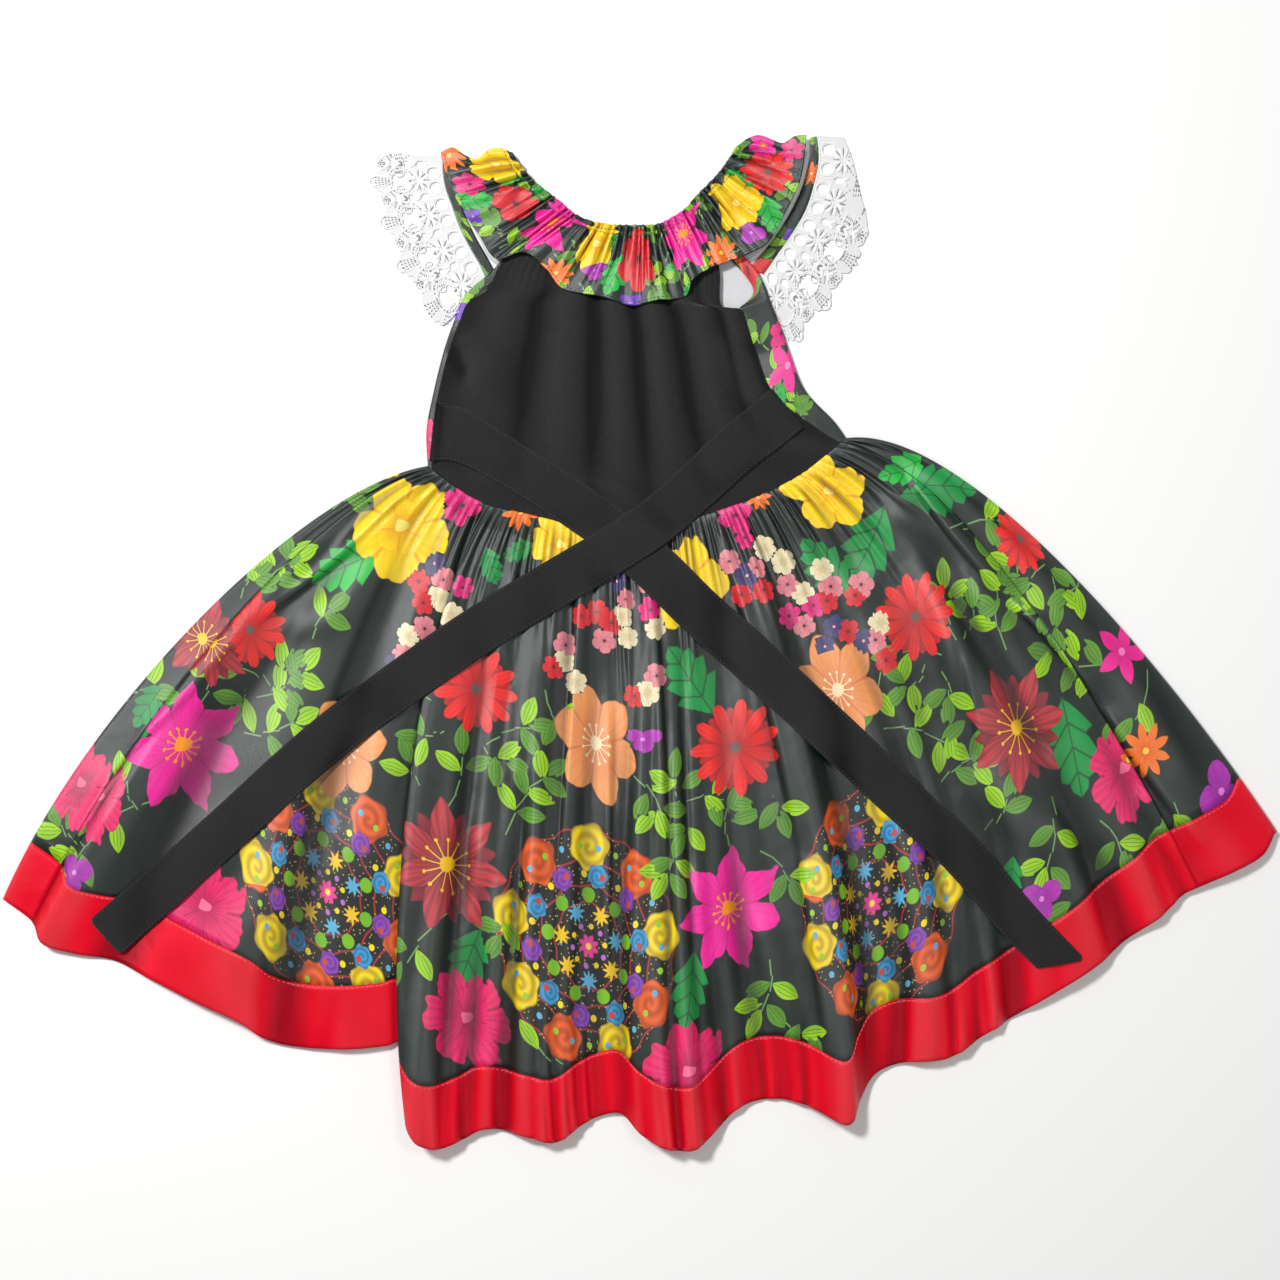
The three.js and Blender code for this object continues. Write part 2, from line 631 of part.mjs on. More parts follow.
// A flat piece on the table between two edges.
function flatStrip(inner, outer, columns, rows, low) {
  const last = inner.x.length - 1;
  return steps(columns).map((share) =>
    steps(rows).map((down) => new THREE.Vector3(
      lerp(along(inner.x, share * last), along(outer.x, share * last), down),
      lerp(along(inner.y, share * last), along(outer.y, share * last), down),
      low,
    )));
}
add(
  "neck_ruffle_front",
  wall(flatStrip(
    { x: UNDER_RUFFLE.neckX, y: UNDER_RUFFLE.neckY },
    { x: UNDER_RUFFLE.edgeX, y: UNDER_RUFFLE.edgeY }, 40, 2, FLOOR,
  ), CLOTH),
  printedSatin,
);
const BAND_COLUMNS = 18;
for (const [side, band] of [["left", LEFT_BAND], ["right", RIGHT_BAND]]) {
  const inner = { x: band.inX, y: band.inY };
  const outer = { x: band.outX, y: band.outY };
  const grid = flatStrip(inner, outer, BAND_COLUMNS, 1, FLOOR);
  add(`armhole_band_${side}`, wall(grid, CLOTH), printedSatin);
}

// The lace. Each repeat has two oval gaps at its heading, a daisy, a round gap outside the
// daisy and five lobes round that gap. Along counts repeats, and the rest is in mm.
const REPEAT_LENGTH = 22; // a repeat of the pattern, across its lobes
const GAP_MARGIN = 0.09; // part of a repeat that stays whole beside a gap at the lace's ends
const LACE_RIM = 3; // lace that stays whole outside a gap
const EDGE_STEP = 0.05; // share of the band that gives the direction of its edge at its ends
const SCALLOP = table(["along", "depth"], [
  [0, 40],
  [0.06, 43],
  [0.13, 44.5],
  [0.2, 42.8],
  [0.27, 46.5],
  [0.35, 47.5],
  [0.42, 45.5],
  [0.5, 49],
  [0.58, 45.5],
  [0.65, 47.5],
  [0.73, 46.5],
  [0.8, 42.8],
  [0.87, 44.5],
  [0.94, 43],
  [1, 40],
]);
const GAPS = table(["along", "out", "wide", "deep", "sides"], [
  [0.26, 6.6, 7.6, 8.4, 8],
  [0.74, 6.6, 7.6, 8.4, 8],
  [0.5, 29, 14, 14, 12],
  [1, 15.5, 5, 6.4, 6],
  [1, 25.5, 5, 6.4, 6],
]);

const BAND_SEAM = new THREE.Vector2(); // where a place on the lace is measured from

function scallopDepth(along) {
  const share = along - Math.floor(along);
  const i = Math.max(SCALLOP.along.findIndex((a) => a >= share), 1);
  const [a, b] = [SCALLOP.along[i - 1], SCALLOP.along[i]];
  return lerp(SCALLOP.depth[i - 1], SCALLOP.depth[i], (share - a) / (b - a));
}

function lace(name, band, rows, first, last) {
  const edge = new THREE.CurvePath();
  const rim = steps(BAND_COLUMNS).map((share) => share * (band.outX.length - 1))
    .map((row) => new THREE.Vector2(along(band.outX, row), along(band.outY, row)));
  rim.slice(1).forEach((p, i) => edge.add(new THREE.LineCurve(rim[i], p)));
  const place = (repeat, out) => {
    const at = along(rows.at, repeat + 1);
    const inside = THREE.MathUtils.clamp(at, 0, 1);
    const start = edge.getPoint(inside);
    const before = inside - Math.sign(at - inside) * EDGE_STEP;
    const beyond = start.clone().sub(edge.getPoint(before));
    start.addScaledVector(beyond, Math.abs(at - inside) / EDGE_STEP);
    const angle = THREE.MathUtils.degToRad(along(rows.angle, repeat + 1));
    return start.add(new THREE.Vector2(out + SEAM, 0).rotateAround(BAND_SEAM, angle));
  };
  const reach = (repeat) => Math.min(scallopDepth(repeat), along(rows.depth, repeat + 1));
  const stops = [first, last];
  for (let k = Math.floor(first); k <= last; k++)
    for (const a of SCALLOP.along.slice(0, -1))
      if (k + a > first + 0.02 && k + a < last - 0.02) stops.push(k + a);
  stops.sort((a, b) => a - b);
  const headings = stops.filter((_, i) => i % 4 === 0 || i === stops.length - 1);
  const shape = new THREE.Shape([
    ...stops.map((repeat) => place(repeat, reach(repeat))),
    ...headings.reverse().map((repeat) => place(repeat, 0)),
  ]);
  for (let k = Math.floor(first); k < last; k++)
    GAPS.along.forEach((share, i) => {
      const repeat = k + share;
      const half = GAPS.wide[i] / 2 / REPEAT_LENGTH + GAP_MARGIN;
      if (repeat - half < first || repeat + half > last) return;
      if (GAPS.out[i] + GAPS.deep[i] / 2 + LACE_RIM > reach(repeat)) return;
      const centre = place(repeat, GAPS.out[i]);
      const turn = THREE.MathUtils.degToRad(along(rows.angle, repeat + 1));
      const rim = steps(GAPS.sides[i]).slice(0, -1).map((part) => {
        const angle = 2 * Math.PI * part;
        return new THREE.Vector2(
          (GAPS.deep[i] / 2) * Math.cos(angle), (GAPS.wide[i] / 2) * Math.sin(angle),
        ).rotateAround(BAND_SEAM, turn).add(centre);
      });
      shape.holes.push(new THREE.Path(rim));
    });
  add(name, new THREE.ExtrudeGeometry(shape, { depth: LACE_WALL, bevelEnabled: false }),
    whiteLace);
}
lace("lace_left", LEFT_BAND, LEFT_LACE, -0.25, 4);
lace("lace_right", RIGHT_BAND, RIGHT_LACE, -0.1, 4.9);

// The ties lie on whatever is under them: each point's height is taken from the pieces below,
// at the point and on two circles round it.
const ray = new THREE.Raycaster();
const DOWN = new THREE.Vector3(0, 0, -1);
const ABOVE = 100; // a height over the whole dress
const CIRCLES = [5, 9];
const CIRCLE_POINTS = 8;
function topAt(x, y, below) {
  ray.set(new THREE.Vector3(x, y, ABOVE), DOWN);
  const hits = ray.intersectObjects(below, false);
  return hits.length ? hits[0].point.z : 0;
}
function highestNear(x, y, below) {
  const heights = [topAt(x, y, below)];
  for (const radius of CIRCLES)
    for (let k = 0; k < CIRCLE_POINTS; k++) {
      const angle = (k * 2 * Math.PI) / CIRCLE_POINTS;
      heights.push(topAt(x + radius * Math.cos(angle), y + radius * Math.sin(angle), below));
    }
  return Math.max(...heights);
}
const TIE_STEPS = 52;
const TIE_END_SLANT = 15; // how far one corner of the left tie's end is past the other
function tie(name, line, endSlant, below) {
  const last = line.x.length - 1;
  const grid = steps(TIE_STEPS).map((share) => {
    const at = share * last;
    const here = new THREE.Vector2(along(line.x, at), along(line.y, at));
    const ahead = new THREE.Vector2(
      along(line.x, Math.min(at + 0.1, last)) - along(line.x, Math.max(at - 0.1, 0)),
      along(line.y, Math.min(at + 0.1, last)) - along(line.y, Math.max(at - 0.1, 0)),
    ).normalize();
    const aside = new THREE.Vector2(-ahead.y, ahead.x);
    const end = smooth(at, last - 1, last);
    return [-0.5, 0, 0.5].map((side) => {
      const plan = here.clone()
        .addScaledVector(aside, side * along(line.width, at))
        .addScaledVector(ahead, side * endSlant * end);
      const z = highestNear(plan.x, plan.y, below) + TIE_LIFT + TIE_WALL / 2;
      return new THREE.Vector3(plan.x, plan.y, z);
    });
  });
  const soft = grid.map((column, i) => column.map((p, j) => {
    const near = [grid[Math.max(i - 1, 0)][j], p, grid[Math.min(i + 1, TIE_STEPS)][j]];
    return new THREE.Vector3(p.x, p.y, Math.max(...near.map((q) => q.z)));
  }));
  return add(name, wall(soft, TIE_WALL), blackCrepe);
}
const laid = [backSkirt, backRibbon, bodiceBack, bodiceFront, ruffle];
const leftTie = tie("tie_left", LEFT_TIE, TIE_END_SLANT, laid);
tie("tie_right", RIGHT_TIE, 0, [...laid, leftTie]);

// The origin goes under the middle of the outline.
const middle = new THREE.Box3().setFromObject(dress).getCenter(new THREE.Vector3());
dress.position.set(-middle.x, -middle.y, 0);

export default dress;
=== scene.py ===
# %% [markdown]
# A girl's folklorico dress, laid flat on its front and seen from the back. The script puts
# cloth with a print, a weave and creases on a packed model that already has the right sizes.
# Everything is worked out in millimetres on the table and turned into metres when a mesh is
# made. The model's own solids give way to the shells that stand for them, except the lace,
# which keeps its solid plates.

# %% Load the frame
import math

import bpy
import numpy as np
from mathutils.bvhtree import BVHTree
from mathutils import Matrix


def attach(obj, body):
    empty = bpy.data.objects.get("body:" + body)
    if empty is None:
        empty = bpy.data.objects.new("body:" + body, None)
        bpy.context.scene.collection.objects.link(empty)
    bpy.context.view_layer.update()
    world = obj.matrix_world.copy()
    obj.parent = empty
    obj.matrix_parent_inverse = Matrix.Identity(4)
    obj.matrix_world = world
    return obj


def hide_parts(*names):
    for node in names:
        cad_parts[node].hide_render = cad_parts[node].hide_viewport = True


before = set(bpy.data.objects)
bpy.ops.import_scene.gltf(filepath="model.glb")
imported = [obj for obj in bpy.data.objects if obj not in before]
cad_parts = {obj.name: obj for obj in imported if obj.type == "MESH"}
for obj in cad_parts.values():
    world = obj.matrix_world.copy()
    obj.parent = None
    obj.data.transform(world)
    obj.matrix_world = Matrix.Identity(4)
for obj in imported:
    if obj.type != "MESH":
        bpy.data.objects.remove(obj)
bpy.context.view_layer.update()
MM = 0.001
print("solids in the frame:", len(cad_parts))

# %% [markdown]
# The picture was taken from straight above. The camera looks down from one and a half
# metres, so that the thin dress shows no slant at its edges. The middle of the picture and
# the width that it takes in were read from the picture, and stand here as real sizes.

# %% Camera
PICTURE = 1280  # pixels across the square picture
PICTURE_WIDTH = 870.4  # mm of table that it takes in
PICTURE_MIDDLE = (639.0, 640.5)  # the pixel that the drawing's zero lies on
ORIGIN = (-0.5, 0.49)  # from the drawing's zero to the part's origin, mm
LENS = 60.0
SENSOR = 36.0
FOLDS = 6.0  # mm over the table at which the picture's width holds


def on_table(px, py):
    """The place on the table, in mm of the drawing, under a pixel of the picture."""
    scale = PICTURE_WIDTH / PICTURE
    return (px - PICTURE_MIDDLE[0]) * scale, (PICTURE_MIDDLE[1] - py) * scale


lens = bpy.data.cameras.new("overhead")
lens.lens = LENS
lens.sensor_width = SENSOR
eye = bpy.data.objects.new("overhead", lens)
middle = on_table(PICTURE / 2, PICTURE / 2)
height = PICTURE_WIDTH * LENS / SENSOR + FOLDS
eye.location = ((middle[0] + ORIGIN[0]) * MM, (middle[1] + ORIGIN[1]) * MM, height * MM)
bpy.context.scene.collection.objects.link(eye)
bpy.context.scene.camera = eye
bpy.context.scene.view_settings.view_transform = "Standard"
bpy.context.scene.view_settings.look = "None"
print("camera height in mm:", round(height))


def srgb(red, green, blue):
    """A colour read from a picture, 0 to 255, as the linear light that shaders use."""
    parts = [channel / 255 for channel in (red, green, blue)]
    lit = [p / 12.92 if p <= 0.04045 else ((p + 0.055) / 1.055) ** 2.4 for p in parts]
    return (*lit, 1.0)


print("white as linear light:", srgb(255, 255, 255))

# %% [markdown]
# The light of a catalogue picture is soft. A square lamp high on the left stands for a window
# and draws the folds, and two weak ones fill its shadows. A pale world around them lights the
# bottoms of the folds, where no lamp reaches.


# %% Light
def lamp(name, place, size, power):
    """A soft square light that points at the middle of the dress."""
    light = bpy.data.lights.new(name, "AREA")
    light.shape = "SQUARE"
    light.size = size
    light.energy = power
    made = bpy.data.objects.new(name, light)
    made.location = place
    made.rotation_mode = "QUATERNION"
    made.rotation_quaternion = made.location.to_track_quat("Z", "Y")
    bpy.context.scene.collection.objects.link(made)


LAMPS = {
    "window": ((-0.95, 0.85, 1.75), 0.34, 42.0),
    "bounce": ((0.8, 0.35, 1.8), 0.4, 4.5),
    "low": ((0.2, -1.15, 1.6), 0.5, 3.0),
}
for name, (place, size, power) in LAMPS.items():
    lamp(name, place, size, power)
world = bpy.data.worlds.new("studio")
world.use_nodes = True
world.node_tree.nodes["Background"].inputs["Color"].default_value = srgb(250, 250, 250)
world.node_tree.nodes["Background"].inputs["Strength"].default_value = 0.25
bpy.context.scene.world = world
print("lamps:", ", ".join(LAMPS))

# %% [markdown]
# A finish is a tree of shader nodes. Joining nodes by hand hides the sums in them, so a small
# class wraps a socket and lets a sum be written as one: `1 - mask` adds a Math node. Colours
# are joined with Mix nodes, because a Math node would turn them grey.


# %% Shader sums
class Paint:
    """A socket of a finish. A sum written with it adds Math nodes to that finish."""

    def __init__(self, finish, socket):
        self.finish = finish
        self.socket = socket

    def __add__(self, other):
        return self.finish.math("ADD", self, other)

    def __sub__(self, other):
        return self.finish.math("SUBTRACT", self, other)

    def __rsub__(self, other):
        return self.finish.math("SUBTRACT", other, self)

    def __mul__(self, other):
        return self.finish.math("MULTIPLY", self, other)

    def __truediv__(self, other):
        return self.finish.math("DIVIDE", self, other)

    def __pow__(self, other):
        return self.finish.math("POWER", self, other)

    def __abs__(self):
        return self.finish.math("ABSOLUTE", self)

    __radd__ = __add__
    __rmul__ = __mul__


class Finish:
    """A material under construction: its nodes, and the shader that they feed."""

    def __init__(self, name, **constants):
        self.material = bpy.data.materials.new(name)
        self.material.use_nodes = True
        self.tree = self.material.node_tree
        self.shader = self.tree.nodes["Principled BSDF"]
        for socket, value in constants.items():
            self.shader.inputs[socket.replace("_", " ")].default_value = value

    def feed(self, socket, value):
        if isinstance(value, Paint):
            self.tree.links.new(value.socket, socket)
        else:
            socket.default_value = value

    def node(self, kind, settings=None, inputs=None, output=0):
        """Adds a node: first its settings, then the values or links of its sockets."""
        made = self.tree.nodes.new(kind)
        for name, value in (settings or {}).items():
            setattr(made, name, value)
        for socket, value in (inputs or {}).items():
            self.feed(made.inputs[socket], value)
        return Paint(self, made.outputs[output])

    def math(self, operation, *values, clamp=False):
        settings = {"operation": operation, "use_clamp": clamp}
        return self.node("ShaderNodeMath", settings, dict(enumerate(values)))

    def cover(self, inside, sharp):
        """1 where inside is above nought, with an edge that fades over 1 / sharp."""
        return self.math("MULTIPLY", inside, sharp, clamp=True)

    def mix(self, share, low, high, blend="MIX"):
        settings = {"data_type": "RGBA", "blend_type": blend}
        return self.node("ShaderNodeMix", settings, {0: share, 6: low, 7: high}, 2)

    def attribute(self, name, output="Vector"):
        return self.node("ShaderNodeAttribute", {"attribute_name": name}, output=output)

    def split(self, vector):
        made = self.node("ShaderNodeSeparateXYZ", inputs={0: vector})
        outputs = made.socket.node.outputs
        return [Paint(self, outputs[k]) for k in range(3)]

    def scale(self, vector, by):
        return self.node(
            "ShaderNodeVectorMath", {"operation": "SCALE"}, {0: vector, "Scale": by}
        )

    def noise(self, vector, detail):
        """Noise whose lumps are about as wide as one step of the vector."""
        inputs = {"Vector": vector, "Scale": 1.0, "Detail": detail}
        return self.node("ShaderNodeTexNoise", inputs=inputs)

    def bump(self, height, distance):
        return self.node("ShaderNodeBump", inputs={"Height": height, "Distance": distance})

    def into(self, socket, value):
        self.feed(self.shader.inputs[socket], value)


print("a finish can:", ", ".join(name for name in vars(Finish) if name[0] != "_"))

# %% [markdown] The dress lies on a plain pale sheet.

# %% Floor
floor_finish = Finish("pale_floor", Roughness=0.9)
floor_finish.into("Base Color", srgb(250, 250, 249))
bpy.ops.mesh.primitive_plane_add(size=8, location=(0, 0, -0.0002))
floor = bpy.context.object
floor.name = "floor"
floor.data.materials.append(floor_finish.material)
print("floor under the dress, in m:", floor.dimensions[0])

# %% [markdown]
# The dress was drawn as lines of cloth between seams. The same short tables that shaped the
# solids shape the shells here, so a shell lies just where its solid lies. A smooth curve runs
# through each column, and can be read at any place between two rows.


# %% Tables of the skirt
def table(names, rows):
    """Turns rows of numbers into one array for each named column."""
    return {name: np.array([row[k] for row in rows], float) for k, name in enumerate(names)}


WAIST = table(["x", "y"], [
    [-144, 119],
    [-111, 96],
    [-75, 86],
    [-38, 78],
    [1, 75],
    [38, 84],
    [75, 96],
    [110, 113],
    [141, 138],
])
FOLD = table(["waist", "x", "y", "spread", "fall", "mid", "hem"], [
    [0.0, -433.5, -176, -37, 21, 5, 4.6],
    [0.02, -413, -191, -36, 16, 6.5, 5],
    [0.026, -405, -206, -34, 16, 7, 9],
    [0.032, -384, -213, -32, 15, 4, 6],
    [0.039, -358, -218, -30, 15, 3.4, 3.4],
    [0.046, -333, -230, -29, 15, 6, 6],
    [0.054, -302, -245, -28, 14, 9, 9],
    [0.062, -271, -259, -27, 14, 9, 12],
    [0.07, -256, -270, -26, 14, 5, 6],
    [0.08, -237, -276, -25, 14, 3.2, 3],
    [0.1, -203, -278, -24, 14, 5, 7],
    [0.12, -173, -276, -24, 15, 4.5, 5],
    [0.132, -160, -274, -24, 15, 3.2, 2.8],
    [0.14, -128, -287, -24, 15, 2.8, 2.6],
    [0.15, -133, -309, -25, 15, 7.5, 9],
    [0.158, -157, -321, -26, 15, 10, 13],
    [0.172, -152, -338, -25, 14, 11, 17],
    [0.19, -137, -344, -23, 13, 11, 16],
    [0.215, -120, -339, -20, 11, 8, 9],
    [0.24, -103, -332, -17, 9, 5, 5],
    [0.28, -74, -337, -13, 7, 7, 11],
    [0.32, -56, -340, -9, 5, 9, 13],
    [0.36, -40, -330, -6, 3, 6, 7],
    [0.395, -27, -324, -3, 2, 3.2, 3.2],
    [0.425, -12, -322, 0, 1, 5, 5],
    [0.455, 2, -335, 1, 0, 8, 12],
    [0.49, 20, -344, 2, -1, 10, 16],
    [0.53, 38, -344, 2, -2, 9, 15],
    [0.57, 54, -331, 2, -2, 6, 8],
    [0.605, 70, -317, 4, -4, 3.6, 4],
    [0.64, 92, -312, 7, -6, 4, 3.4],
    [0.67, 115, -316, 9, -8, 7, 8],
    [0.7, 141, -327, 12, -10, 12, 18],
    [0.72, 150, -311, 14, -11, 7, 9],
    [0.735, 161, -295, 15, -12, 3.2, 3],
    [0.76, 181, -287, 17, -12, 5, 6],
    [0.79, 211, -283, 19, -13, 8, 10],
    [0.82, 235, -268, 21, -13, 6, 7],
    [0.85, 254, -257, 24, -13, 4, 3.6],
    [0.88, 286, -237, 27, -13, 8, 9],
    [0.905, 313, -219, 30, -13, 9, 10],
    [0.925, 330, -205, 33, -13, 4.4, 3.4],
    [0.942, 354, -188, 37, -12, 6, 8],
    [0.962, 369, -174, 40, -12, 7, 5],
    [0.98, 380, -168, 43, -12, 6.5, 6],
    [0.987, 406, -156, 46, -13, 9, 9],
    [0.994, 425, -145, 49, -14, 6, 7],
    [1.0, 434.5, -130, 51, -14, 5, 4.6],
])
UNDER = table(["waist", "x", "y", "spread", "fall"], [
    [0.02, -392, -198, -36, 16],
    [0.04, -340, -219, -31, 15],
    [0.09, -225, -264, -25, 14],
    [0.15, -150, -278, -24, 15],
    [0.27, -95, -320, -13, 7],
    [0.39, -27, -314, -3, 2],
    [0.53, 38, -328, 2, -2],
    [0.66, 110, -300, 9, -8],
    [0.78, 205, -272, 18, -12],
    [0.88, 290, -224, 27, -13],
    [0.94, 355, -180, 36, -12],
    [0.98, 398, -152, 44, -12],
])
LEFT_SEAM, RIGHT_SEAM, LAST_FOLD = 1, 44, len(FOLD["x"]) - 1  # rows of FOLD
print("fold lines of the skirt:", LAST_FOLD + 1)

# %% [markdown]
# The bodice is read level by level, from the waist up to the neck. A row holds both ends and
# the middle of a line across the cloth, which is enough for a panel with no darts.

# %% Thickness of the cloth, and tables of the bodice
CLOTH = 1.2  # wall of the solids, whose outer side the shells follow
FLOOR = CLOTH / 2  # the middle of cloth that lies on the table
LAYER = CLOTH + 0.3  # from the middle of one cloth to the next that lies on it
BACK = table(["leftX", "leftY", "midX", "midY", "rightX", "rightY", "rise", "edge"], [
    [-141, 114, 1, 75, 137, 131, 4.2, 4.2],
    [-141, 143, -1, 109, 113, 149, 5.4, 4.2],
    [-136, 170, -3, 147, 91, 169, 6.4, 4.2],
    [-129, 198, -6, 183, 79.5, 197, 6.6, 4.2],
    [-122, 217, -8, 208, 73, 217, 6.4, 4.6],
    [-116, 230, -10, 225, 69, 225, 6.4, 5],
    [-103, 239, -11, 235, 56, 228, 6.2, 5.5],
    [-95, 255, -12, 249, 55, 251, 6, 5.5],
    [-81, 276, -12, 262, 50, 274, 5.8, 5.4],
    [-67, 292, -13, 272, 39, 290, 5.6, 5.2],
])
FRONT = table(
    ["leftX", "leftY", "leftTurnX", "leftTurnY", "midX", "midY", "rightX", "rightY",
    "rightTurnX", "rightTurnY", "low", "roll"],
    [
    [-143.6, 119, -141, 114, 1, 75, 140.6, 139, 137, 131, FLOOR, 1.5],
    [-145, 143, -141, 143, -1, 109, 132.5, 150, 113, 149, FLOOR, 1.5],
    [-140, 170, -136, 170, -3, 146, 113, 171, 91, 169, FLOOR, 1.5],
    [-133, 198, -129, 198, -6, 182, 102.5, 197, 79.5, 197, FLOOR, 1.5],
    [-126, 218, -122, 217, -8, 207, 95.6, 216, 73, 217, FLOOR + 1, 1.3],
    [-121, 231, -116, 230, -10, 222, 89.6, 231, 69, 225, FLOOR + LAYER, 1],
    [-113, 241, -107, 238, -11, 232, 86.5, 240, 78, 237, FLOOR + LAYER, 0.75],
    [-99, 253, -94, 249, -12, 244, 79, 254, 71, 250, FLOOR + LAYER, 0.75],
    [-84, 273, -79, 268, -12, 256, 62, 270, 55, 266, FLOOR + LAYER, 0.75],
    [-69, 288, -64, 283, -13, 266, 42, 285, 36, 281, FLOOR + LAYER, 0.75],
    ],
)
print("levels of the bodice:", len(BACK["rise"]))

# %% [markdown]
# Strips are sewn to these panels. A row of a strip's table is a place on the edge that is
# sewn and the place across from it on the loose edge. A tie is cloth of one width, so a
# middle line and that width say all of it.

# %% Tables of the ruffle, the bands, the lace and the ties
RUFFLE = table(["neckX", "neckY", "edgeX", "edgeY", "neck", "edge"], [
    [-86, 332, -135, 330, 4, 4],
    [-78, 320, -129, 311, 6.6, 6],
    [-70, 311, -120.5, 293, 8, 8],
    [-61, 304, -109, 276, 8, 7],
    [-52, 297, -97, 259, 8, 8],
    [-44, 290, -78, 263, 8, 10],
    [-33, 285, -63, 252, 8, 8],
    [-23, 283, -51, 238, 8, 9],
    [-13, 282, -27, 233, 8, 12],
    [-3, 282, -5, 227, 8, 9.4],
    [6, 282, 11, 230, 8, 12],
    [14, 283, 31, 233, 8, 9],
    [22, 287, 37, 245, 8, 11],
    [31, 293, 52, 254, 8, 9],
    [39, 302, 71, 261, 8, 8],
    [48, 311, 88, 270, 8, 9],
    [56, 320, 99, 290, 8, 7],
    [62, 329, 109, 311, 6.6, 8],
    [66, 336, 114, 334, 4, 4],
])
SHOULDER = table(["left", "right"], [
    [0, 0],
    [3.4, 6],
    [2.6, 8.4],
    [-3.5, 6],
    [-0.5, 3.6],
    [5, 8.6],
    [2, 9.8],
])
UNDER_RUFFLE = table(["neckX", "neckY", "edgeX", "edgeY"], [
    [-85, 329, -128, 329],
    [-77, 319, -123.5, 309],
    [-69, 309, -118.6, 292],
    [-61, 301, -109.4, 275],
    [-52, 293, -96.5, 256],
    [-32, 279, -60, 247],
    [-13, 275, -27, 236],
    [7, 278, 16, 235],
    [22, 282, 52, 248],
    [40, 300, 83, 266],
    [48, 309, 94, 281],
    [55, 320, 103, 297],
    [61, 328, 110, 314],
    [65, 334, 115, 334],
])
LEFT_BAND = table(["outX", "outY", "inX", "inY"], [
    [-134, 332, -130, 331],
    [-132.4, 312, -126, 311],
    [-127, 296, -120.5, 295],
    [-122, 282, -112.5, 277],
    [-115, 268, -104.5, 263],
    [-108, 256, -97.5, 251],
    [-104, 247, -90, 246],
])
RIGHT_BAND = table(["outX", "outY", "inX", "inY"], [
    [121, 344, 117, 343],
    [122.5, 329, 116.5, 329],
    [119, 311, 112, 311],
    [114, 295, 106, 297],
    [106, 280.5, 98, 283],
    [96, 266, 88, 269],
    [85, 250, 75, 254],
])
LEFT_LACE = table(["at", "angle", "depth"], [
    [-0.15, 176, 50],
    [0.08, 179, 50],
    [0.31, 185, 50],
    [0.56, 196, 50],
    [0.8, 208, 50],
    [1.02, 226, 46],
])
RIGHT_LACE = table(["at", "angle", "depth"], [
    [-0.2, 0, 14],
    [0.02, -3, 19],
    [0.27, -9, 29],
    [0.52, -22, 46],
    [0.73, -40, 50],
    [0.92, -54, 50],
    [1.08, -63, 50],
])
LEFT_TIE = table(["x", "y", "width"], [
    [-140, 142, 40],
    [-125, 140, 36],
    [-108, 132, 32],
    [-81, 116, 30],
    [-54, 99, 30],
    [-22, 77, 31],
    [7, 53, 32],
    [41, 20, 32],
    [82, -17, 32],
    [137, -68, 31],
    [177, -106, 30],
    [218, -144, 29],
    [256, -188, 28],
    [286, -219, 27],
])
RIGHT_TIE = table(["x", "y", "width"], [
    [101, 158, 34],
    [84, 144, 34],
    [66, 130, 33],
    [38, 104, 32],
    [10, 80, 32],
    [-22, 59, 32],
    [-81, 24, 32],
    [-135, -11, 32],
    [-210, -66, 31],
    [-285, -133, 31],
    [-363, -202, 31],
])
print("rows of the ruffle's table:", len(RUFFLE["neckX"]))

# %% [markdown]
# Cloth has no corners, so every seam here is a smooth curve through a few places. A fold of
# the skirt is a curve with two handles: it leaves the waist steeply and bends out to the hem.
# Splines of Blender's own could do this too, but plain sums can be read at thousands of
# places at once.


# %% Curves
def along(values, at):
    """A smooth curve through a column's values, read at row numbers with fractions."""
    at = np.asarray(at, float)
    last = len(values) - 1
    i = np.clip(np.floor(at).astype(int), 0, last - 1)
    f = at - i
    a, b = values[np.maximum(i - 1, 0)], values[i]
    c, d = values[i + 1], values[np.minimum(i + 2, last)]
    return b + 0.5 * f * (c - a + f * (2 * a - 5 * b + 4 * c - d + f * (3 * (b - c) + d - a)))


def smooth(x, low, high):
    s = np.clip((np.asarray(x, float) - low) / (high - low), 0, 1)
    return s * s * (3 - 2 * s)


def lerp(a, b, share):
    return a + (b - a) * share


def rotated(vector, degrees):
    turn = np.radians(degrees)
    c, s = np.cos(turn), np.sin(turn)
    x, y = vector[..., 0], vector[..., 1]
    return np.stack([x * c - y * s, x * s + y * c], -1)


def unit(vector):
    return vector / np.maximum(np.linalg.norm(vector, axis=-1, keepdims=True), 1e-9)


WAIST_HANDLE, HEM_HANDLE = 0.2, 0.35  # of a fold's curve, as shares of its length


def waist_point(share):
    at = np.asarray(share, float) * (len(WAIST["x"]) - 1)
    return np.stack([along(WAIST["x"], at), along(WAIST["y"], at)], -1)


def ray_point(lines, row, t):
    """The place on the table, t of the way down a line from the waist to the hem."""
    row, t = np.broadcast_arrays(np.asarray(row, float), np.asarray(t, float))
    start = waist_point(along(lines["waist"], row))
    end = np.stack([along(lines["x"], row), along(lines["y"], row)], -1)
    chord = end - start
    first = start + rotated(chord * WAIST_HANDLE, along(lines["spread"], row))
    second = end - rotated(chord * HEM_HANDLE, along(lines["fall"], row))
    t = t[..., None]
    u = 1 - t
    return u**3 * start + 3 * u * u * t * first + 3 * u * t * t * second + t**3 * end


print("middle of the waist in mm:", waist_point(0.5).round(1))

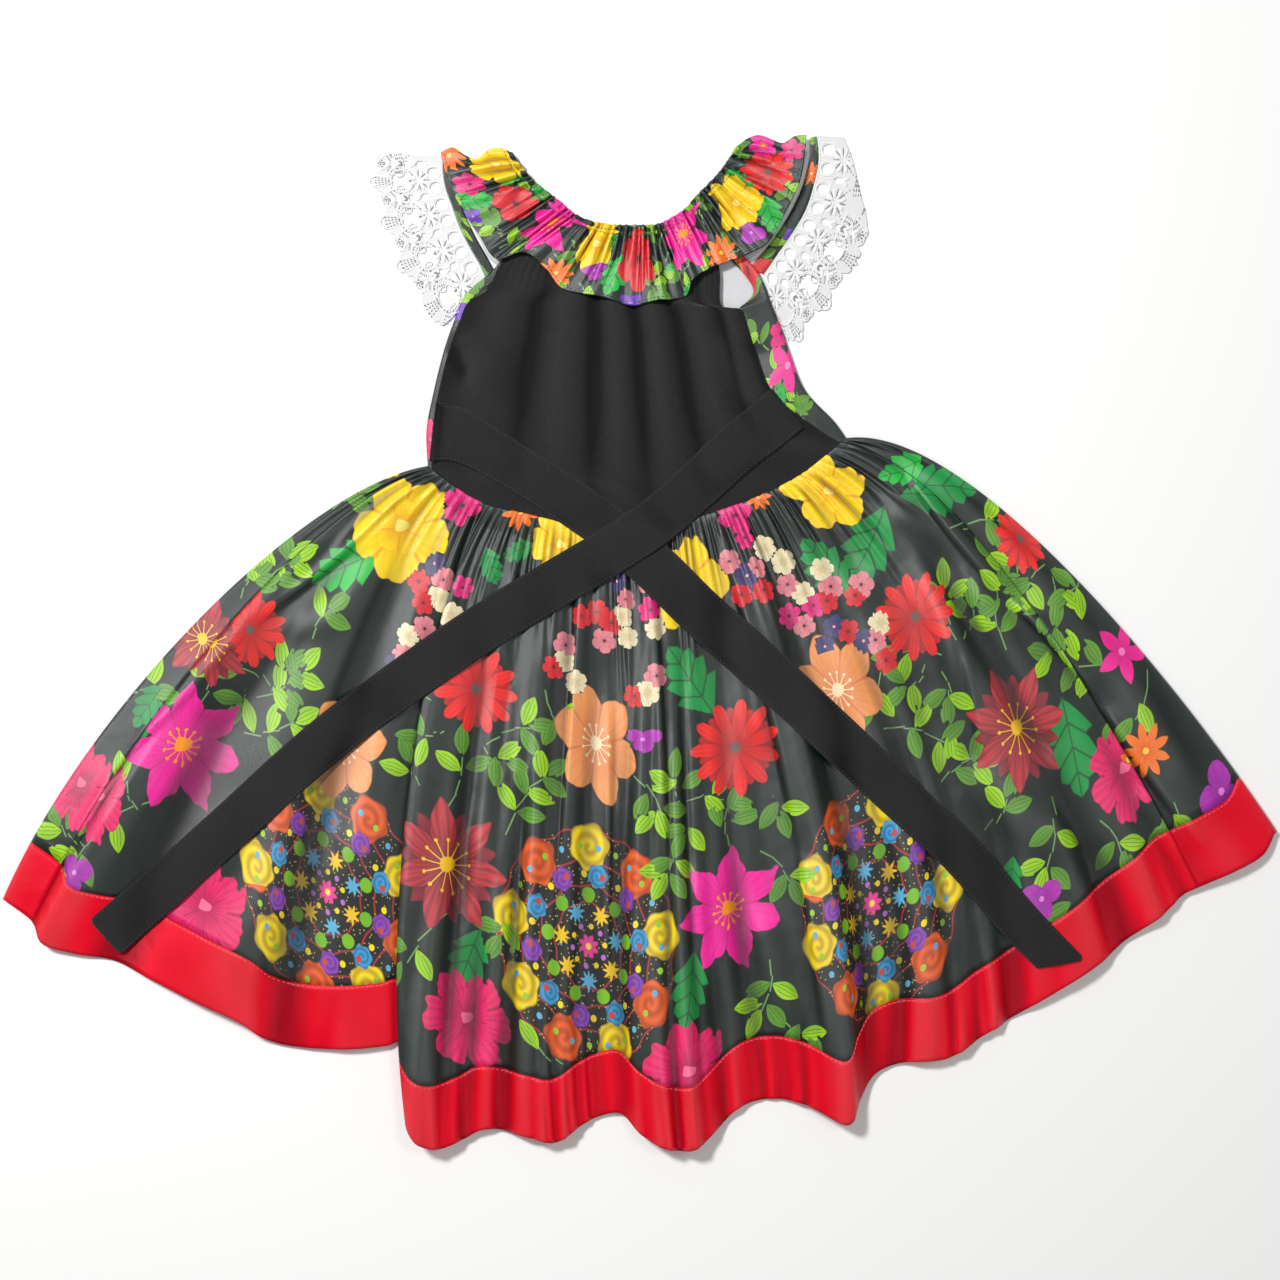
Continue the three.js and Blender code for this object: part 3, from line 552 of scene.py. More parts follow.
# %% [markdown]
# Long creases and crisp fold edges are what satin shows first, so they are real shape and not
# only bump. Each is one row: a line on the table from one pixel of the picture to another,
# its bow, width and height. A ridge is soft on both sides. A ledge rises to its line and
# drops off sharply on the other side, as where one fold of cloth lies over the next.

# %% Creases
LEDGE_DROP = (-4.4, 0.8)  # mm across a ledge over which it drops off
FADE_IN, FADE_OUT = (-0.05, 0.25), (0.7, 1.05)  # shares of a crease's length


def creases(plan, lines):
    """The height that a table of creases adds at each place of the cloth."""
    added = np.zeros(plan.shape[:-1])
    for k in range(len(lines["x0"])):
        start = np.array([lines["x0"][k], lines["y0"][k]])
        end = np.array([lines["x1"][k], lines["y1"][k]])
        way = end - start
        length = np.hypot(*way)
        way = way / length
        off = plan - start
        share = off @ way / length
        bow = lines["bow"][k] * 4 * share * (1 - share)
        across = off @ np.array([-way[1], way[0]]) - bow
        width, high = lines["wide"][k], lines["high"][k]
        fade = smooth(share, *FADE_IN) * (1 - smooth(share, *FADE_OUT))
        if lines["ledge"][k]:
            across = across * lines["ledge"][k]
            ledge = np.exp(-np.abs(across) / width) * smooth(across, *LEDGE_DROP)
            added += high * fade * ledge
        else:
            added += high * fade * np.exp(-((across / width) ** 2))
    return added


def in_mm(lines, names):
    """A crease table with its pixel columns turned into places on the table."""
    made = table(names, lines)
    made["x0"], made["y0"] = on_table(made["px0"], made["py0"])
    made["x1"], made["y1"] = on_table(made["px1"], made["py1"])
    return made


CREASE_COLUMNS = ["px0", "py0", "px1", "py1", "bow", "wide", "high", "ledge"]
SKIRT_CREASES = in_mm([
    [582, 560, 560, 900, 0, 14, 5.2, 1],
    [652, 560, 668, 900, 0, 12, 4.5, -1],
    [722, 540, 800, 850, 4, 13, 4.2, 1],
    [800, 850, 830, 1050, 0, 9, 3.5, 1],
    [690, 860, 720, 1010, 0, 12, 2.7, 0],
    [905, 470, 1010, 600, -3, 12, 5.2, 1],
    [1010, 600, 1100, 700, 2, 12, 6, 1],
    [1100, 700, 1210, 850, -4, 13, 4.5, 1],
    [870, 470, 960, 700, 12, 9, 3.1, 0],
    [960, 640, 985, 760, 0, 6, 3.1, 1],
    [970, 760, 1090, 850, -10, 12, 2.7, 0],
    [430, 480, 330, 560, 3, 9, 3.4, 0],
    [425, 470, 245, 625, 6, 8, 4.2, -1],
    [245, 625, 120, 760, 3, 9, 4.5, -1],
    [120, 760, 62, 860, 2, 9, 3.5, -1],
    [400, 500, 300, 640, 10, 12, 2.7, 0],
    [330, 590, 200, 720, -6, 16, 3.4, 0],
    [200, 720, 90, 860, -4, 18, 3.1, 0],
    [430, 560, 395, 700, 0, 9, 3.1, 0],
    [395, 690, 340, 900, 4, 14, 3.4, 0],
    [455, 500, 440, 640, 0, 8, 2.7, 0],
    [490, 510, 505, 700, 0, 10, 3.1, 0],
    [545, 620, 520, 820, -4, 12, 3.1, 0],
    [478, 800, 500, 1040, 4, 12, 2.7, 0],
    [610, 700, 606, 1000, 0, 10, 3.9, -1],
    [745, 620, 760, 760, 0, 9, 2.4, 0],
    [760, 900, 790, 1040, 0, 12, 2.7, 0],
    [850, 560, 900, 700, 4, 10, 3.1, 0],
    [880, 500, 1000, 640, 16, 10, 2.7, 0],
    [940, 560, 1060, 760, 8, 10, 3.1, 0],
    [1040, 740, 1120, 860, 0, 14, 2.7, 0],
    [1120, 640, 1200, 800, -6, 14, 2.7, 0],
    [250, 800, 180, 900, 0, 14, 2.4, 0],
    [300, 760, 262, 960, 0, 12, 2.4, 0],
    [1150, 780, 1190, 860, 0, 14, 2.4, 0],
], CREASE_COLUMNS)
print("creases drawn on the skirt:", len(SKIRT_CREASES["x0"]))

# %% [markdown]
# The gathers at the waist come from a seam that pulls more than three lengths of cloth into
# one. The solids hold the 24 largest. The shells put finer tucks between them. Slow waves
# change their height and length, since an even wave would look like a machine's pleats.

# %% Lines of the skirt
RIBBON = 42.0  # width of the red ribbon at the hem
WAIST_LENGTH = 306.0  # along the waist's seam
WAIST_RISE = 4.2  # of the seam, over the table
HEM_OVER_WAIST = 3.7  # how much longer the hem is than the waist
WAIST_SHARE = 0.6  # how much the waist counts when lines are shared out
GATHERS, TUCKS = 24, 71  # large ones and fine ones along the waist


def gather_height(waist, t):
    """The large gathers that the solids have, and the fine tucks between them."""
    turn = 2 * np.pi * GATHERS * waist
    large = (1 - smooth(t, 0.06, 0.36)) * (0.8 + 0.2 * np.sin(2.3 * turn / (2 * np.pi)))
    large = 1.35 * large * (1 + np.cos(turn))
    wander = waist + 0.004 * np.sin(31 * waist + 4 * t) + 0.003 * np.sin(87 * waist)
    tuck = 2 * np.pi * TUCKS * wander
    reach = 0.17 + 0.06 * np.sin(43 * waist + 1) + 0.05 * np.sin(101 * waist)
    ridge = 1 - np.abs(np.sin(tuck / 2))
    small = (1 - smooth(t, 0.3 * reach, 1.6 * reach)) * (ridge - 0.36)
    small = small * (2.6 + 0.9 * np.sin(57 * waist))
    return (1.25 * large + small) * (0.1 + 0.9 * smooth(t, 0, 0.06))


def swell_height(waist, t):
    """Broad soft swells that fall from the gathers, and short ripples in the hem's ribbon."""
    lean = waist + 0.012 * np.sin(5 * t + 9 * waist)
    broad = 1.5 * np.sin(2 * np.pi * 17 * lean + 1) + 1.2 * np.sin(2 * np.pi * 29 * lean + 7 * t)
    broad = broad * smooth(t, 0.15, 0.7) * (0.7 + 0.5 * np.sin(23 * waist + 2))
    ripple = np.sin(2 * np.pi * 53 * lean) + 0.7 * np.sin(2 * np.pi * 83 * lean + 2)
    return broad + 0.45 * ripple * smooth(t, 0.8, 1) * (0.8 + 0.6 * np.sin(41 * waist))


def skirt_top(row, t):
    """The middle of the wall of the skirt's upper layer, and where it is down the cloth."""
    row, t = np.broadcast_arrays(np.asarray(row, float), np.asarray(t, float))
    plan = ray_point(FOLD, row, t)
    waist, mid, hem = (along(FOLD[name], row) for name in ("waist", "mid", "hem"))
    base = lerp(lerp(WAIST_RISE, mid, smooth(t, 0, 0.5)), hem, smooth(t, 0.4, 1))
    soft = creases(plan, SKIRT_CREASES) * smooth(t, 0, 0.12) * (1 - 0.6 * smooth(t, 0.85, 1))
    sides = smooth(row, LEFT_SEAM, LEFT_SEAM + 2) * (1 - smooth(row, RIGHT_SEAM - 2, RIGHT_SEAM))
    z = base + gather_height(waist, t) + soft + swell_height(waist, t) * sides
    return np.concatenate([plan, z[..., None]], -1)


def ribbon_start(lines, row):
    """How far down a line the ribbon's seam is."""
    start = waist_point(along(lines["waist"], row))
    end = np.stack([along(lines["x"], row), along(lines["y"], row)], -1)
    return 1 - RIBBON / (3 * HEM_HANDLE * np.linalg.norm(end - start, axis=-1))


def skirt_rows(count):
    """Row numbers of FOLD, spaced so that both the gathers and the hem get their share."""
    rows = np.arange(LEFT_SEAM, RIGHT_SEAM + 1)
    waist = np.diff(FOLD["waist"][rows]) * WAIST_LENGTH * HEM_OVER_WAIST
    hem = np.sqrt(sum(np.diff(FOLD[name][rows]) ** 2 for name in ("x", "y", "hem")))
    reach = np.concatenate([[0], np.cumsum(WAIST_SHARE * waist + (1 - WAIST_SHARE) * hem)])
    return np.interp(np.linspace(0, reach[-1], count), reach, rows)


def down_lines(lines, rows, skirt_steps, ribbon_steps):
    """Shares of the way down each line: those of the skirt, then those of its ribbon."""
    seam = ribbon_start(lines, rows)[:, None]
    body = seam * np.linspace(0, 1, skirt_steps + 1) ** 1.1
    band = lerp(seam, 1, np.linspace(0, 1, ribbon_steps + 1))
    return np.concatenate([body, band[:, 1:]], 1)


BACK_COLUMNS, BACK_STEPS, RIBBON_STEPS = 430, 96, 14  # of the grid of the upper skirt
rows = skirt_rows(BACK_COLUMNS)
back_grid = skirt_top(rows[:, None], down_lines(FOLD, rows, BACK_STEPS, RIBBON_STEPS))
print("points on the upper skirt:", back_grid.shape[0] * back_grid.shape[1])

# %% [markdown]
# The printed front lies under the dress with its face to the table, and its edges turn up
# over the sides. One function draws its cut across: seam, turned strip, rolled edge, table,
# rolled edge, turned strip and seam. The skirt and the bodice both use it.

# %% Lines of the front
ROLL = np.radians(np.linspace(90, -90, 9))  # from the turned strip round to the table
FRONT_STEPS = 72  # down the front skirt, without its ribbon
LEFT_WRAP, RIGHT_WRAP = 8, 34  # columns of the skirt's strips that turn up over its sides
SKIRT_ROLL = (1.6, 2.4)  # mm, the radius of its rolled edges at the waist and below it


def front_section(seams, edges, outward, under, roll, low, wraps, laid=None):
    """Grid of a front panel, across by down. Seams, edges and outward hold one value a side."""
    inset = [edges[k] - outward[k] * (roll + CLOTH / 2)[:, None] for k in (0, 1)]

    def place(plan, z):
        return np.concatenate([plan, np.asarray(z)[:, None]], 1)

    def wrap(k):
        end = place(inset[k], low + 2 * roll)
        lay = laid or (lambda k, share: lerp(seams[k], end, share))
        off = end - lay(k, 1.0)
        return [lay(k, s) + off * s**2 for s in np.linspace(0, 1, wraps[k] + 1)[:-1]]

    def turn(k):
        for angle in ROLL:
            plan = inset[k] + outward[k] * (roll * np.cos(angle))[:, None]
            yield place(plan, low + roll * (1 + np.sin(angle)))

    columns = wrap(0) + list(turn(0))
    columns += [place(plan, low) for plan in under(inset[0], inset[1])]
    columns += list(turn(1))[::-1] + wrap(1)[::-1]
    return np.stack(columns)


def edge_of_skirt(row, t, sideways):
    """The outer edge of the skirt down a row of FOLD, and the direction out from it."""
    way = unit(ray_point(FOLD, row, t + 0.01) - ray_point(FOLD, row, t - 0.01))
    return ray_point(FOLD, row, t), np.stack([way[:, 1], -way[:, 0]], 1) * sideways


UNDER_SHARES = np.linspace(0, 1, 45)
sides = down_lines(FOLD, np.array([LEFT_SEAM, RIGHT_SEAM]), FRONT_STEPS, RIBBON_STEPS)
left_edge, left_out = edge_of_skirt(0, sides[0], 1)
right_edge, right_out = edge_of_skirt(LAST_FOLD, sides[1], -1)
SIDE_ROWS = ((LEFT_SEAM, 0), (RIGHT_SEAM, LAST_FOLD))
front_grid = front_section(
    [skirt_top(LEFT_SEAM, sides[0]), skirt_top(RIGHT_SEAM, sides[1])],
    [left_edge, right_edge], [left_out, right_out],
    lambda a, b: [
        ray_point(UNDER, s * (len(UNDER["x"]) - 1), lerp(sides[0], sides[1], s))
        for s in UNDER_SHARES
    ],
    lerp(*SKIRT_ROLL, smooth(sides[0], 0, 0.3)), np.full(len(sides[0]), FLOOR),
    (LEFT_WRAP, RIGHT_WRAP),
    lambda k, s: skirt_top(lerp(*SIDE_ROWS[k], s), sides[k]),
)
print("points on the front skirt:", front_grid.shape[0] * front_grid.shape[1])

# %% [markdown]
# The back bodice is black crepe, gathered on the neck elastic, so soft upright folds fall
# from the ruffle. The front bodice is printed and shows only where it turns over the sides.


# %% Lines of the bodice
def bodice_line(left, mid, right, share, level, ends):
    """Places on the bowed line across a level, which near the waist turns into its seam."""

    def bend(k):
        return (
            left[..., k] * (1 - share) * (1 - 2 * share)
            + 4 * mid[..., k] * share * (1 - share)
            + right[..., k] * share * (2 * share - 1)
        )

    plan = np.stack([bend(0), bend(1)], -1)
    to_waist = np.maximum(0, 1 - level / 2)[..., None] ** 2
    return lerp(plan, waist_point(lerp(*ends, share)), to_waist)


def columns_of(lines, name, level):
    return np.stack([along(lines[name + "X"], level), along(lines[name + "Y"], level)], -1)


BODICE_TUCKS = table(["at", "wide", "high"], [
    [0.1, 0.05, 3.0],
    [0.2, 0.02, -1.8],
    [0.3, 0.055, 5.8],
    [0.385, 0.018, -2.0],
    [0.46, 0.04, 4.8],
    [0.53, 0.016, -1.6],
    [0.6, 0.045, 4.6],
    [0.69, 0.018, -2.0],
    [0.78, 0.06, 6.0],
    [0.88, 0.018, -1.6],
    [0.93, 0.035, 2.6],
])
BODICE_CREASES = in_mm([
    [455, 330, 480, 400, 6, 9, 3.1, 0],
    [450, 350, 470, 380, 0, 5, -2, 0],
    [720, 330, 770, 420, -6, 9, 3.4, 0],
    [745, 340, 790, 400, 0, 6, -2.4, 0],
    [440, 440, 500, 480, 4, 8, 2.4, 0],
    [460, 470, 560, 496, -4, 5, 2, 0],
    [560, 480, 640, 500, 3, 5, 1.7, 0],
    [700, 470, 800, 450, 3, 8, 2.7, 0],
    [760, 430, 830, 455, 0, 7, 2, 0],
], CREASE_COLUMNS)


def bodice_back_point(share, level):
    share, level = np.broadcast_arrays(np.asarray(share, float), np.asarray(level, float))
    ends = (FOLD["waist"][LEFT_SEAM], FOLD["waist"][RIGHT_SEAM])
    left, mid, right = (columns_of(BACK, name, level) for name in ("left", "mid", "right"))
    plan = bodice_line(left, mid, right, share, level, ends)
    crown = lerp(along(BACK["rise"], level), along(BACK["edge"], level), (2 * share - 1) ** 4)
    lean = share + 0.005 * np.sin(1.1 * level) + 0.004 * (level - 4) * (share - 0.5)
    fold = sum(
        high * np.exp(-(((lean - at) / wide) ** 2))
        for at, wide, high in zip(*(BODICE_TUCKS[n] for n in ("at", "wide", "high")))
    )
    grown = smooth(level, 0, 3) * lerp(1, 0.3, smooth(level, 5, 7))
    near_neck = smooth(level, 5, 8.5) * 0.5 * np.cos(2 * np.pi * 34 * share)
    soft = creases(plan, BODICE_CREASES) * smooth(level, 0, 0.8)
    z = crown + fold * grown + near_neck + soft
    return np.concatenate([plan, z[..., None]], -1)


ARMHOLE = 5  # the last level that has a side seam
BODICE_WRAPS = (6, 16)  # columns of the bodice's strips that turn up over its sides
LEVELS = np.linspace(0, len(BACK["rise"]) - 1, 111)
bodice_back_grid = bodice_back_point(np.linspace(0, 1, 181)[:, None], LEVELS[None])
UNDER_WAIST = along(UNDER["waist"], UNDER_SHARES * (len(UNDER["waist"]) - 1))


def front_seam(name, side):
    """The edge of a turned strip: sewn to the back up to the armhole, and loose above."""
    sewn = bodice_back_point(side, LEVELS)
    loose = columns_of(FRONT, name, LEVELS)
    z = along(FRONT["low"], LEVELS) + 2 * along(FRONT["roll"], LEVELS)
    loose = np.concatenate([loose, z[:, None]], 1)
    return lerp(sewn, loose, smooth(LEVELS, ARMHOLE, ARMHOLE + 0.4)[:, None])


bodice_front_grid = front_section(
    [front_seam("leftTurn", 0), front_seam("rightTurn", 1)],
    [columns_of(FRONT, "left", LEVELS), columns_of(FRONT, "right", LEVELS)],
    [
        unit(columns_of(FRONT, side, LEVELS) - columns_of(FRONT, side + "Turn", LEVELS))
        for side in ("left", "right")
    ],
    lambda a, b: [
        bodice_line(a, columns_of(FRONT, "mid", LEVELS), b, np.full(len(LEVELS), s), LEVELS,
                    (0, 1))
        for s in UNDER_WAIST
    ],
    along(FRONT["roll"], LEVELS), along(FRONT["low"], LEVELS), BODICE_WRAPS,
)
print("points on the bodice:", bodice_back_grid.shape[:2], bodice_front_grid.shape[:2])

# %% [markdown]
# The neck ruffle is one strip, drawn up on elastic. Its gathers are narrow and steep at the
# neck and die out towards the loose edge, where the strip is longer. Their places wander, as
# elastic draws cloth up unevenly.

# %% Lines of the ruffle and the bands
RUFFLE_GATHERS, RUFFLE_TUCKS = 30, 43  # large ones and fine ones round the neck


def ruffle_point(share, down):
    """A place on the ruffle: a share of the way round the neck, and one down from it."""
    share, down = np.broadcast_arrays(np.asarray(share, float), np.asarray(down, float))
    last = len(RUFFLE["neckX"]) - 1
    row = share * last
    down_wide = down[..., None]
    plan = lerp(columns_of(RUFFLE, "neck", row), columns_of(RUFFLE, "edge", row), down_wide)
    shoulder = down * (len(SHOULDER["left"]) - 1)
    plan[..., 1] += along(SHOULDER["left"], shoulder) * np.maximum(0, 1 - row) ** 2
    plan[..., 1] += along(SHOULDER["right"], shoulder) * np.maximum(0, row - last + 1) ** 2
    inside = smooth(share, 0, 0.03) * (1 - smooth(share, 0.97, 1))
    gather = 0.8 * (1 - 0.55 * down) * np.cos(2 * np.pi * RUFFLE_GATHERS * share)
    wander = share + 0.009 * np.sin(23 * share + 2 * down) + 0.005 * np.sin(71 * share)
    wander = wander + 0.003 * np.sin(131 * share + 1)
    reach = 0.62 + 0.22 * np.sin(37 * share) + 0.12 * np.sin(89 * share + 1)
    ridge = 1 - np.abs(np.sin(np.pi * RUFFLE_TUCKS * wander))
    depth = 3.6 + 2.2 * np.sin(53 * share) * np.cos(19 * share)
    tuck = (ridge - 0.36) * depth * (1 - smooth(down, 0.25, reach + 0.35))
    tuck = tuck * (0.45 + 0.55 * smooth(down, 0, 0.06))
    elastic = 1 - 0.75 * np.exp(-(((down - 0.1) / 0.03) ** 2))
    z = lerp(along(RUFFLE["neck"], row), along(RUFFLE["edge"], row), down)
    z = z + 1 - np.cos(np.pi * down) * 0.4 + (gather + tuck * elastic) * inside
    return np.concatenate([plan, z[..., None]], -1)


RUFFLE_POINTS = 561, 61  # of its grid, round the neck and down
round_neck, down_ruffle = (np.linspace(0, 1, count) for count in RUFFLE_POINTS)
ruffle_grid = ruffle_point(round_neck[:, None], down_ruffle[None])


def flat_strip(inner, outer, columns, steps, low):
    """A grid that lies flat between two edges, low mm over the table."""
    share = np.linspace(0, 1, columns + 1)[:, None] * (len(inner[0]) - 1)
    down = np.linspace(0, 1, steps + 1)[None]
    x, y = (lerp(along(inner[k], share), along(outer[k], share), down) for k in (0, 1))
    return np.stack([x, y, np.full(x.shape, low)], -1)


under_ruffle_grid = flat_strip(
    (UNDER_RUFFLE["neckX"], UNDER_RUFFLE["neckY"]),
    (UNDER_RUFFLE["edgeX"], UNDER_RUFFLE["edgeY"]), columns=160, steps=24, low=FLOOR,
)
band_grids = {
    side: flat_strip((band["inX"], band["inY"]), (band["outX"], band["outY"]),
                     columns=72, steps=6, low=FLOOR)
    for side, band in (("left", LEFT_BAND), ("right", RIGHT_BAND))
}
print("points on the ruffle:", ruffle_grid.shape[0] * ruffle_grid.shape[1])

# %% [markdown]
# A thin wall needs to know which way is out of the cloth at each point. It is the cross
# product of the steps across and down the grid. Near points are averaged, because in a sharp
# crease both sides of a wall would otherwise pass through each other.

# %% Directions and relief
RELIEF_DEPTH = 1.8  # mm over or under the cloth around it that counts as fully so
RELIEF_REACH = 5  # points of a grid, to both sides, that count as the cloth around one


def softened(values, reach, axis):
    """Averages values over reach steps to both sides, along an axis of a grid."""
    wide = [(0, 0)] * values.ndim
    wide[axis] = (reach + 1, reach)
    total = np.cumsum(np.pad(values, wide, "edge"), axis)
    high = np.take(total, range(2 * reach + 1, total.shape[axis]), axis)
    return (high - np.take(total, range(values.shape[axis]), axis)) / (2 * reach + 1)


def out_of_cloth(grid):
    """The direction out of the cloth at each point of a grid, across by down.

    It is averaged over near points, so that both sides of a shell stay apart in a crease.
    """
    across = np.gradient(grid, axis=0)
    down = np.gradient(grid, axis=1)
    normal = unit(np.cross(down, across))
    for axis in (0, 1, 0, 1):
        normal = softened(normal, 1, axis)
    return unit(normal)


def relief_of(grid, reach):
    """How far each point stands over the cloth around it, from -1 in a fold to 1 on a ridge."""
    z = grid[..., 2]
    around = z
    for _ in range(3):
        around = softened(around, reach, 0)
    return np.clip((z - around) / RELIEF_DEPTH, -1, 1)


def corners_of(across, down):
    """Point numbers of the four corners of each face of a grid."""
    i, j = np.meshgrid(np.arange(across - 1), np.arange(down - 1), indexing="ij")
    first = (i * down + j).ravel()
    return np.stack([first, first + 1, first + down + 1, first + down], 1)


def rim_of(across, down):
    """The point numbers round the border of a grid, in order."""
    grid = np.arange(across * down).reshape(across, down)
    return np.concatenate([grid[:, 0], grid[-1, 1:], grid[-2::-1, -1], grid[0, -2:0:-1]])


print("faces on one side of the upper skirt:", len(corners_of(*back_grid.shape[:2])))

# %% [markdown]
# Every piece of cloth is a closed shell on its grid: a fine outer side, which is the side of
# the solid that shows, an inner side half a millimetre below it, and a rim. The mesh also
# carries what the print needs. For each corner of a face it keeps where that corner is within
# the flower or leaf printed there, so that a motif bends, narrows and hides with the cloth.

# %% Shells of cloth
WALL = 0.5
OUTSIDE = 9.0  # a place that is outside every motif, in radii
PLACES = ("bloom_at", "leaf_at", "stem_at", "medal_at")
FORMS = ("bloom_form", "bloom_outer", "bloom_inner", "bloom_heart", "leaf_form", "leaf_tone")
PALE_INSIDE = ("bodice_front", "neck_ruffle_front", "neck_ruffle_back")
pieces = {}


def mesh_from(name, points, faces, finish):
    """A smooth mesh of quads from points in mm of the drawing, riding on the dress."""
    points = (points + [ORIGIN[0], ORIGIN[1], 0]) * MM
    mesh = bpy.data.meshes.new(name)
    mesh.vertices.add(len(points))
    mesh.vertices.foreach_set("co", points.astype(np.float32).ravel())
    mesh.loops.add(faces.size)
    mesh.loops.foreach_set("vertex_index", faces.astype(np.int32).ravel())
    mesh.polygons.add(len(faces))
    mesh.polygons.foreach_set("loop_start", np.arange(0, faces.size, 4, dtype=np.int32))
    mesh.polygons.foreach_set("use_smooth", np.ones(len(faces), bool))
    mesh.update(calc_edges=True)
    mesh.materials.append(finish.material)
    piece = bpy.data.objects.new(name, mesh)
    bpy.context.scene.collection.objects.link(piece)
    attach(piece, "root")
    pieces[name] = piece
    return piece


def attribute(mesh, name, kind, domain, values):
    field = {"FLOAT": "value", "FLOAT_VECTOR": "vector", "FLOAT_COLOR": "color"}[kind]
    made = mesh.attributes.new(name, kind, domain)
    made.data.foreach_set(field, values.astype(np.float32).ravel())


def shell(name, grid, finish, normal=None, right_side=1, motifs=None,
          reach=RELIEF_REACH):
    """A shell on a grid. Right side 1 puts the printed side where normals point, -1 below."""
    across, down = grid.shape[:2]
    out = (out_of_cloth(grid) if normal is None else normal) * right_side
    outer = (grid + out * CLOTH / 2).reshape(-1, 3)
    inner = (grid + out * (CLOTH / 2 - WALL)).reshape(-1, 3)
    front = corners_of(across, down)
    back = front[:, ::-1] + across * down
    rim = rim_of(across, down)
    after = np.roll(rim, -1)
    side = np.stack([rim, after, after + across * down, rim + across * down], 1)
    if right_side < 0:
        front, back, side = front[:, ::-1], back[:, ::-1], side[:, ::-1]
    faces = np.concatenate([front, back, side])
    piece = mesh_from("dress_" + name, np.concatenate([outer, inner]), faces, finish)
    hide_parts(name)
    mesh = piece.data
    wrong = np.zeros(len(faces))
    if name in PALE_INSIDE:
        wrong[len(front):2 * len(front)] = 1
    attribute(mesh, "wrong_side", "FLOAT", "FACE", wrong)
    u, v = cloth_lengths(grid)
    cloth = np.stack([u, v, np.zeros_like(u)], -1).reshape(-1, 3)
    attribute(mesh, "cloth_at", "FLOAT_VECTOR", "POINT", np.concatenate([cloth, cloth]))
    # relief sets where the finishes paint shade into folds and a highlight onto ridges
    relief = relief_of(grid, reach).ravel()
    attribute(mesh, "relief", "FLOAT", "POINT", np.concatenate([relief, relief]))
    if motifs is not None:
        lay_print(mesh, grid, front, len(faces), motifs)
    print(f"{name}: {2 * len(faces)} triangles")


def cloth_lengths(grid):
    """Lengths along the cloth, in mm: across each line of the grid, and down it."""
    across = np.linalg.norm(np.diff(grid, axis=0), axis=2)
    down = np.linalg.norm(np.diff(grid, axis=1), axis=2)
    u, v = np.zeros(grid.shape[:2]), np.zeros(grid.shape[:2])
    u[1:] = np.cumsum(across, axis=0)
    v[:, 1:] = np.cumsum(down, axis=1)
    return u - u[len(u) // 2], v


print("layers that a print can have:", len(PLACES))

# %% [markdown]
# The print is laid motif by motif. Each has a place on the table, a size and a turn. The
# nearest point of the cloth becomes its middle, and lengths along the cloth from there give
# every face its place within the motif. Faces that no motif reaches get a place far outside.


# %% Laying the print
SAME_PLACE = 0.7  # mm on the table within which points lie over one another
MOTIF_EDGE = 1.12  # radii out to which a face can belong to a motif
MISS_SHARE, MISS = 0.8, 4.0  # radii and mm off the cloth at which a motif is left out


def lay_print(mesh, grid, front, face_count, motifs):
    """Writes on a mesh which motif each face of its outer side shows, and where in it."""
    u, v = cloth_lengths(grid)
    places = {name: np.zeros((face_count, 4, 3)) + OUTSIDE for name in PLACES}
    forms = {name: np.zeros((face_count, 4)) for name in FORMS}
    nearest = {name: np.full(len(front), MOTIF_EDGE) for name in PLACES}
    spots = grid[..., :2].reshape(-1, 2)
    tops = grid[..., 2].ravel()
    for layer, spot, turn, reach, values in motifs:
        gap = np.hypot(*(spots - spot).T)
        if gap.min() > reach[0] * MISS_SHARE + MISS:
            continue
        close = gap < gap.min() + SAME_PLACE
        middle = np.flatnonzero(close)[np.argmax(tops[close])]
        i, j = divmod(middle, grid.shape[1])
        local = np.stack([u - u[i], v[i, j] - v], -1)
        up = grid[i, max(j - 1, 0), :2] - grid[i, min(j + 1, grid.shape[1] - 1), :2]
        aside = grid[min(i + 1, len(grid) - 1), j, :2] - grid[max(i - 1, 0), j, :2]
        lean = math.degrees(math.atan2(up[1], up[0])) - 90
        if up[0] * aside[1] - up[1] * aside[0] > 0:
            local[..., 0] *= -1
        local = rotated(local.reshape(-1, 2), lean - turn) / np.array(reach)
        corner = local[front]
        far = np.hypot(*corner.mean(1).T)
        win = far < nearest[layer]
        nearest[layer][win] = far[win]
        index = np.flatnonzero(win)
        places[layer][index, :, :2] = corner[win]
        places[layer][index, :, 2] = 0
        for name, value in values.items():
            forms[name][index] = value
    for name in PLACES:
        attribute(mesh, name, "FLOAT_VECTOR", "CORNER", places[name])
    for name in FORMS:
        attribute(mesh, name, "FLOAT_COLOR", "FACE", forms[name])


print("a motif reaches", MOTIF_EDGE, "of its radius")

# %% [markdown]
# The motifs are plain garden flowers, leaves and sprigs. A kind of flower is a row of numbers
# for one flower shader: petals, how blunt their tips are, how deep the notches go, streaks,
# ruffled edges, length of the stamens, size of the inner ring of petals with 1 added for a
# darker ring behind, and three colours.

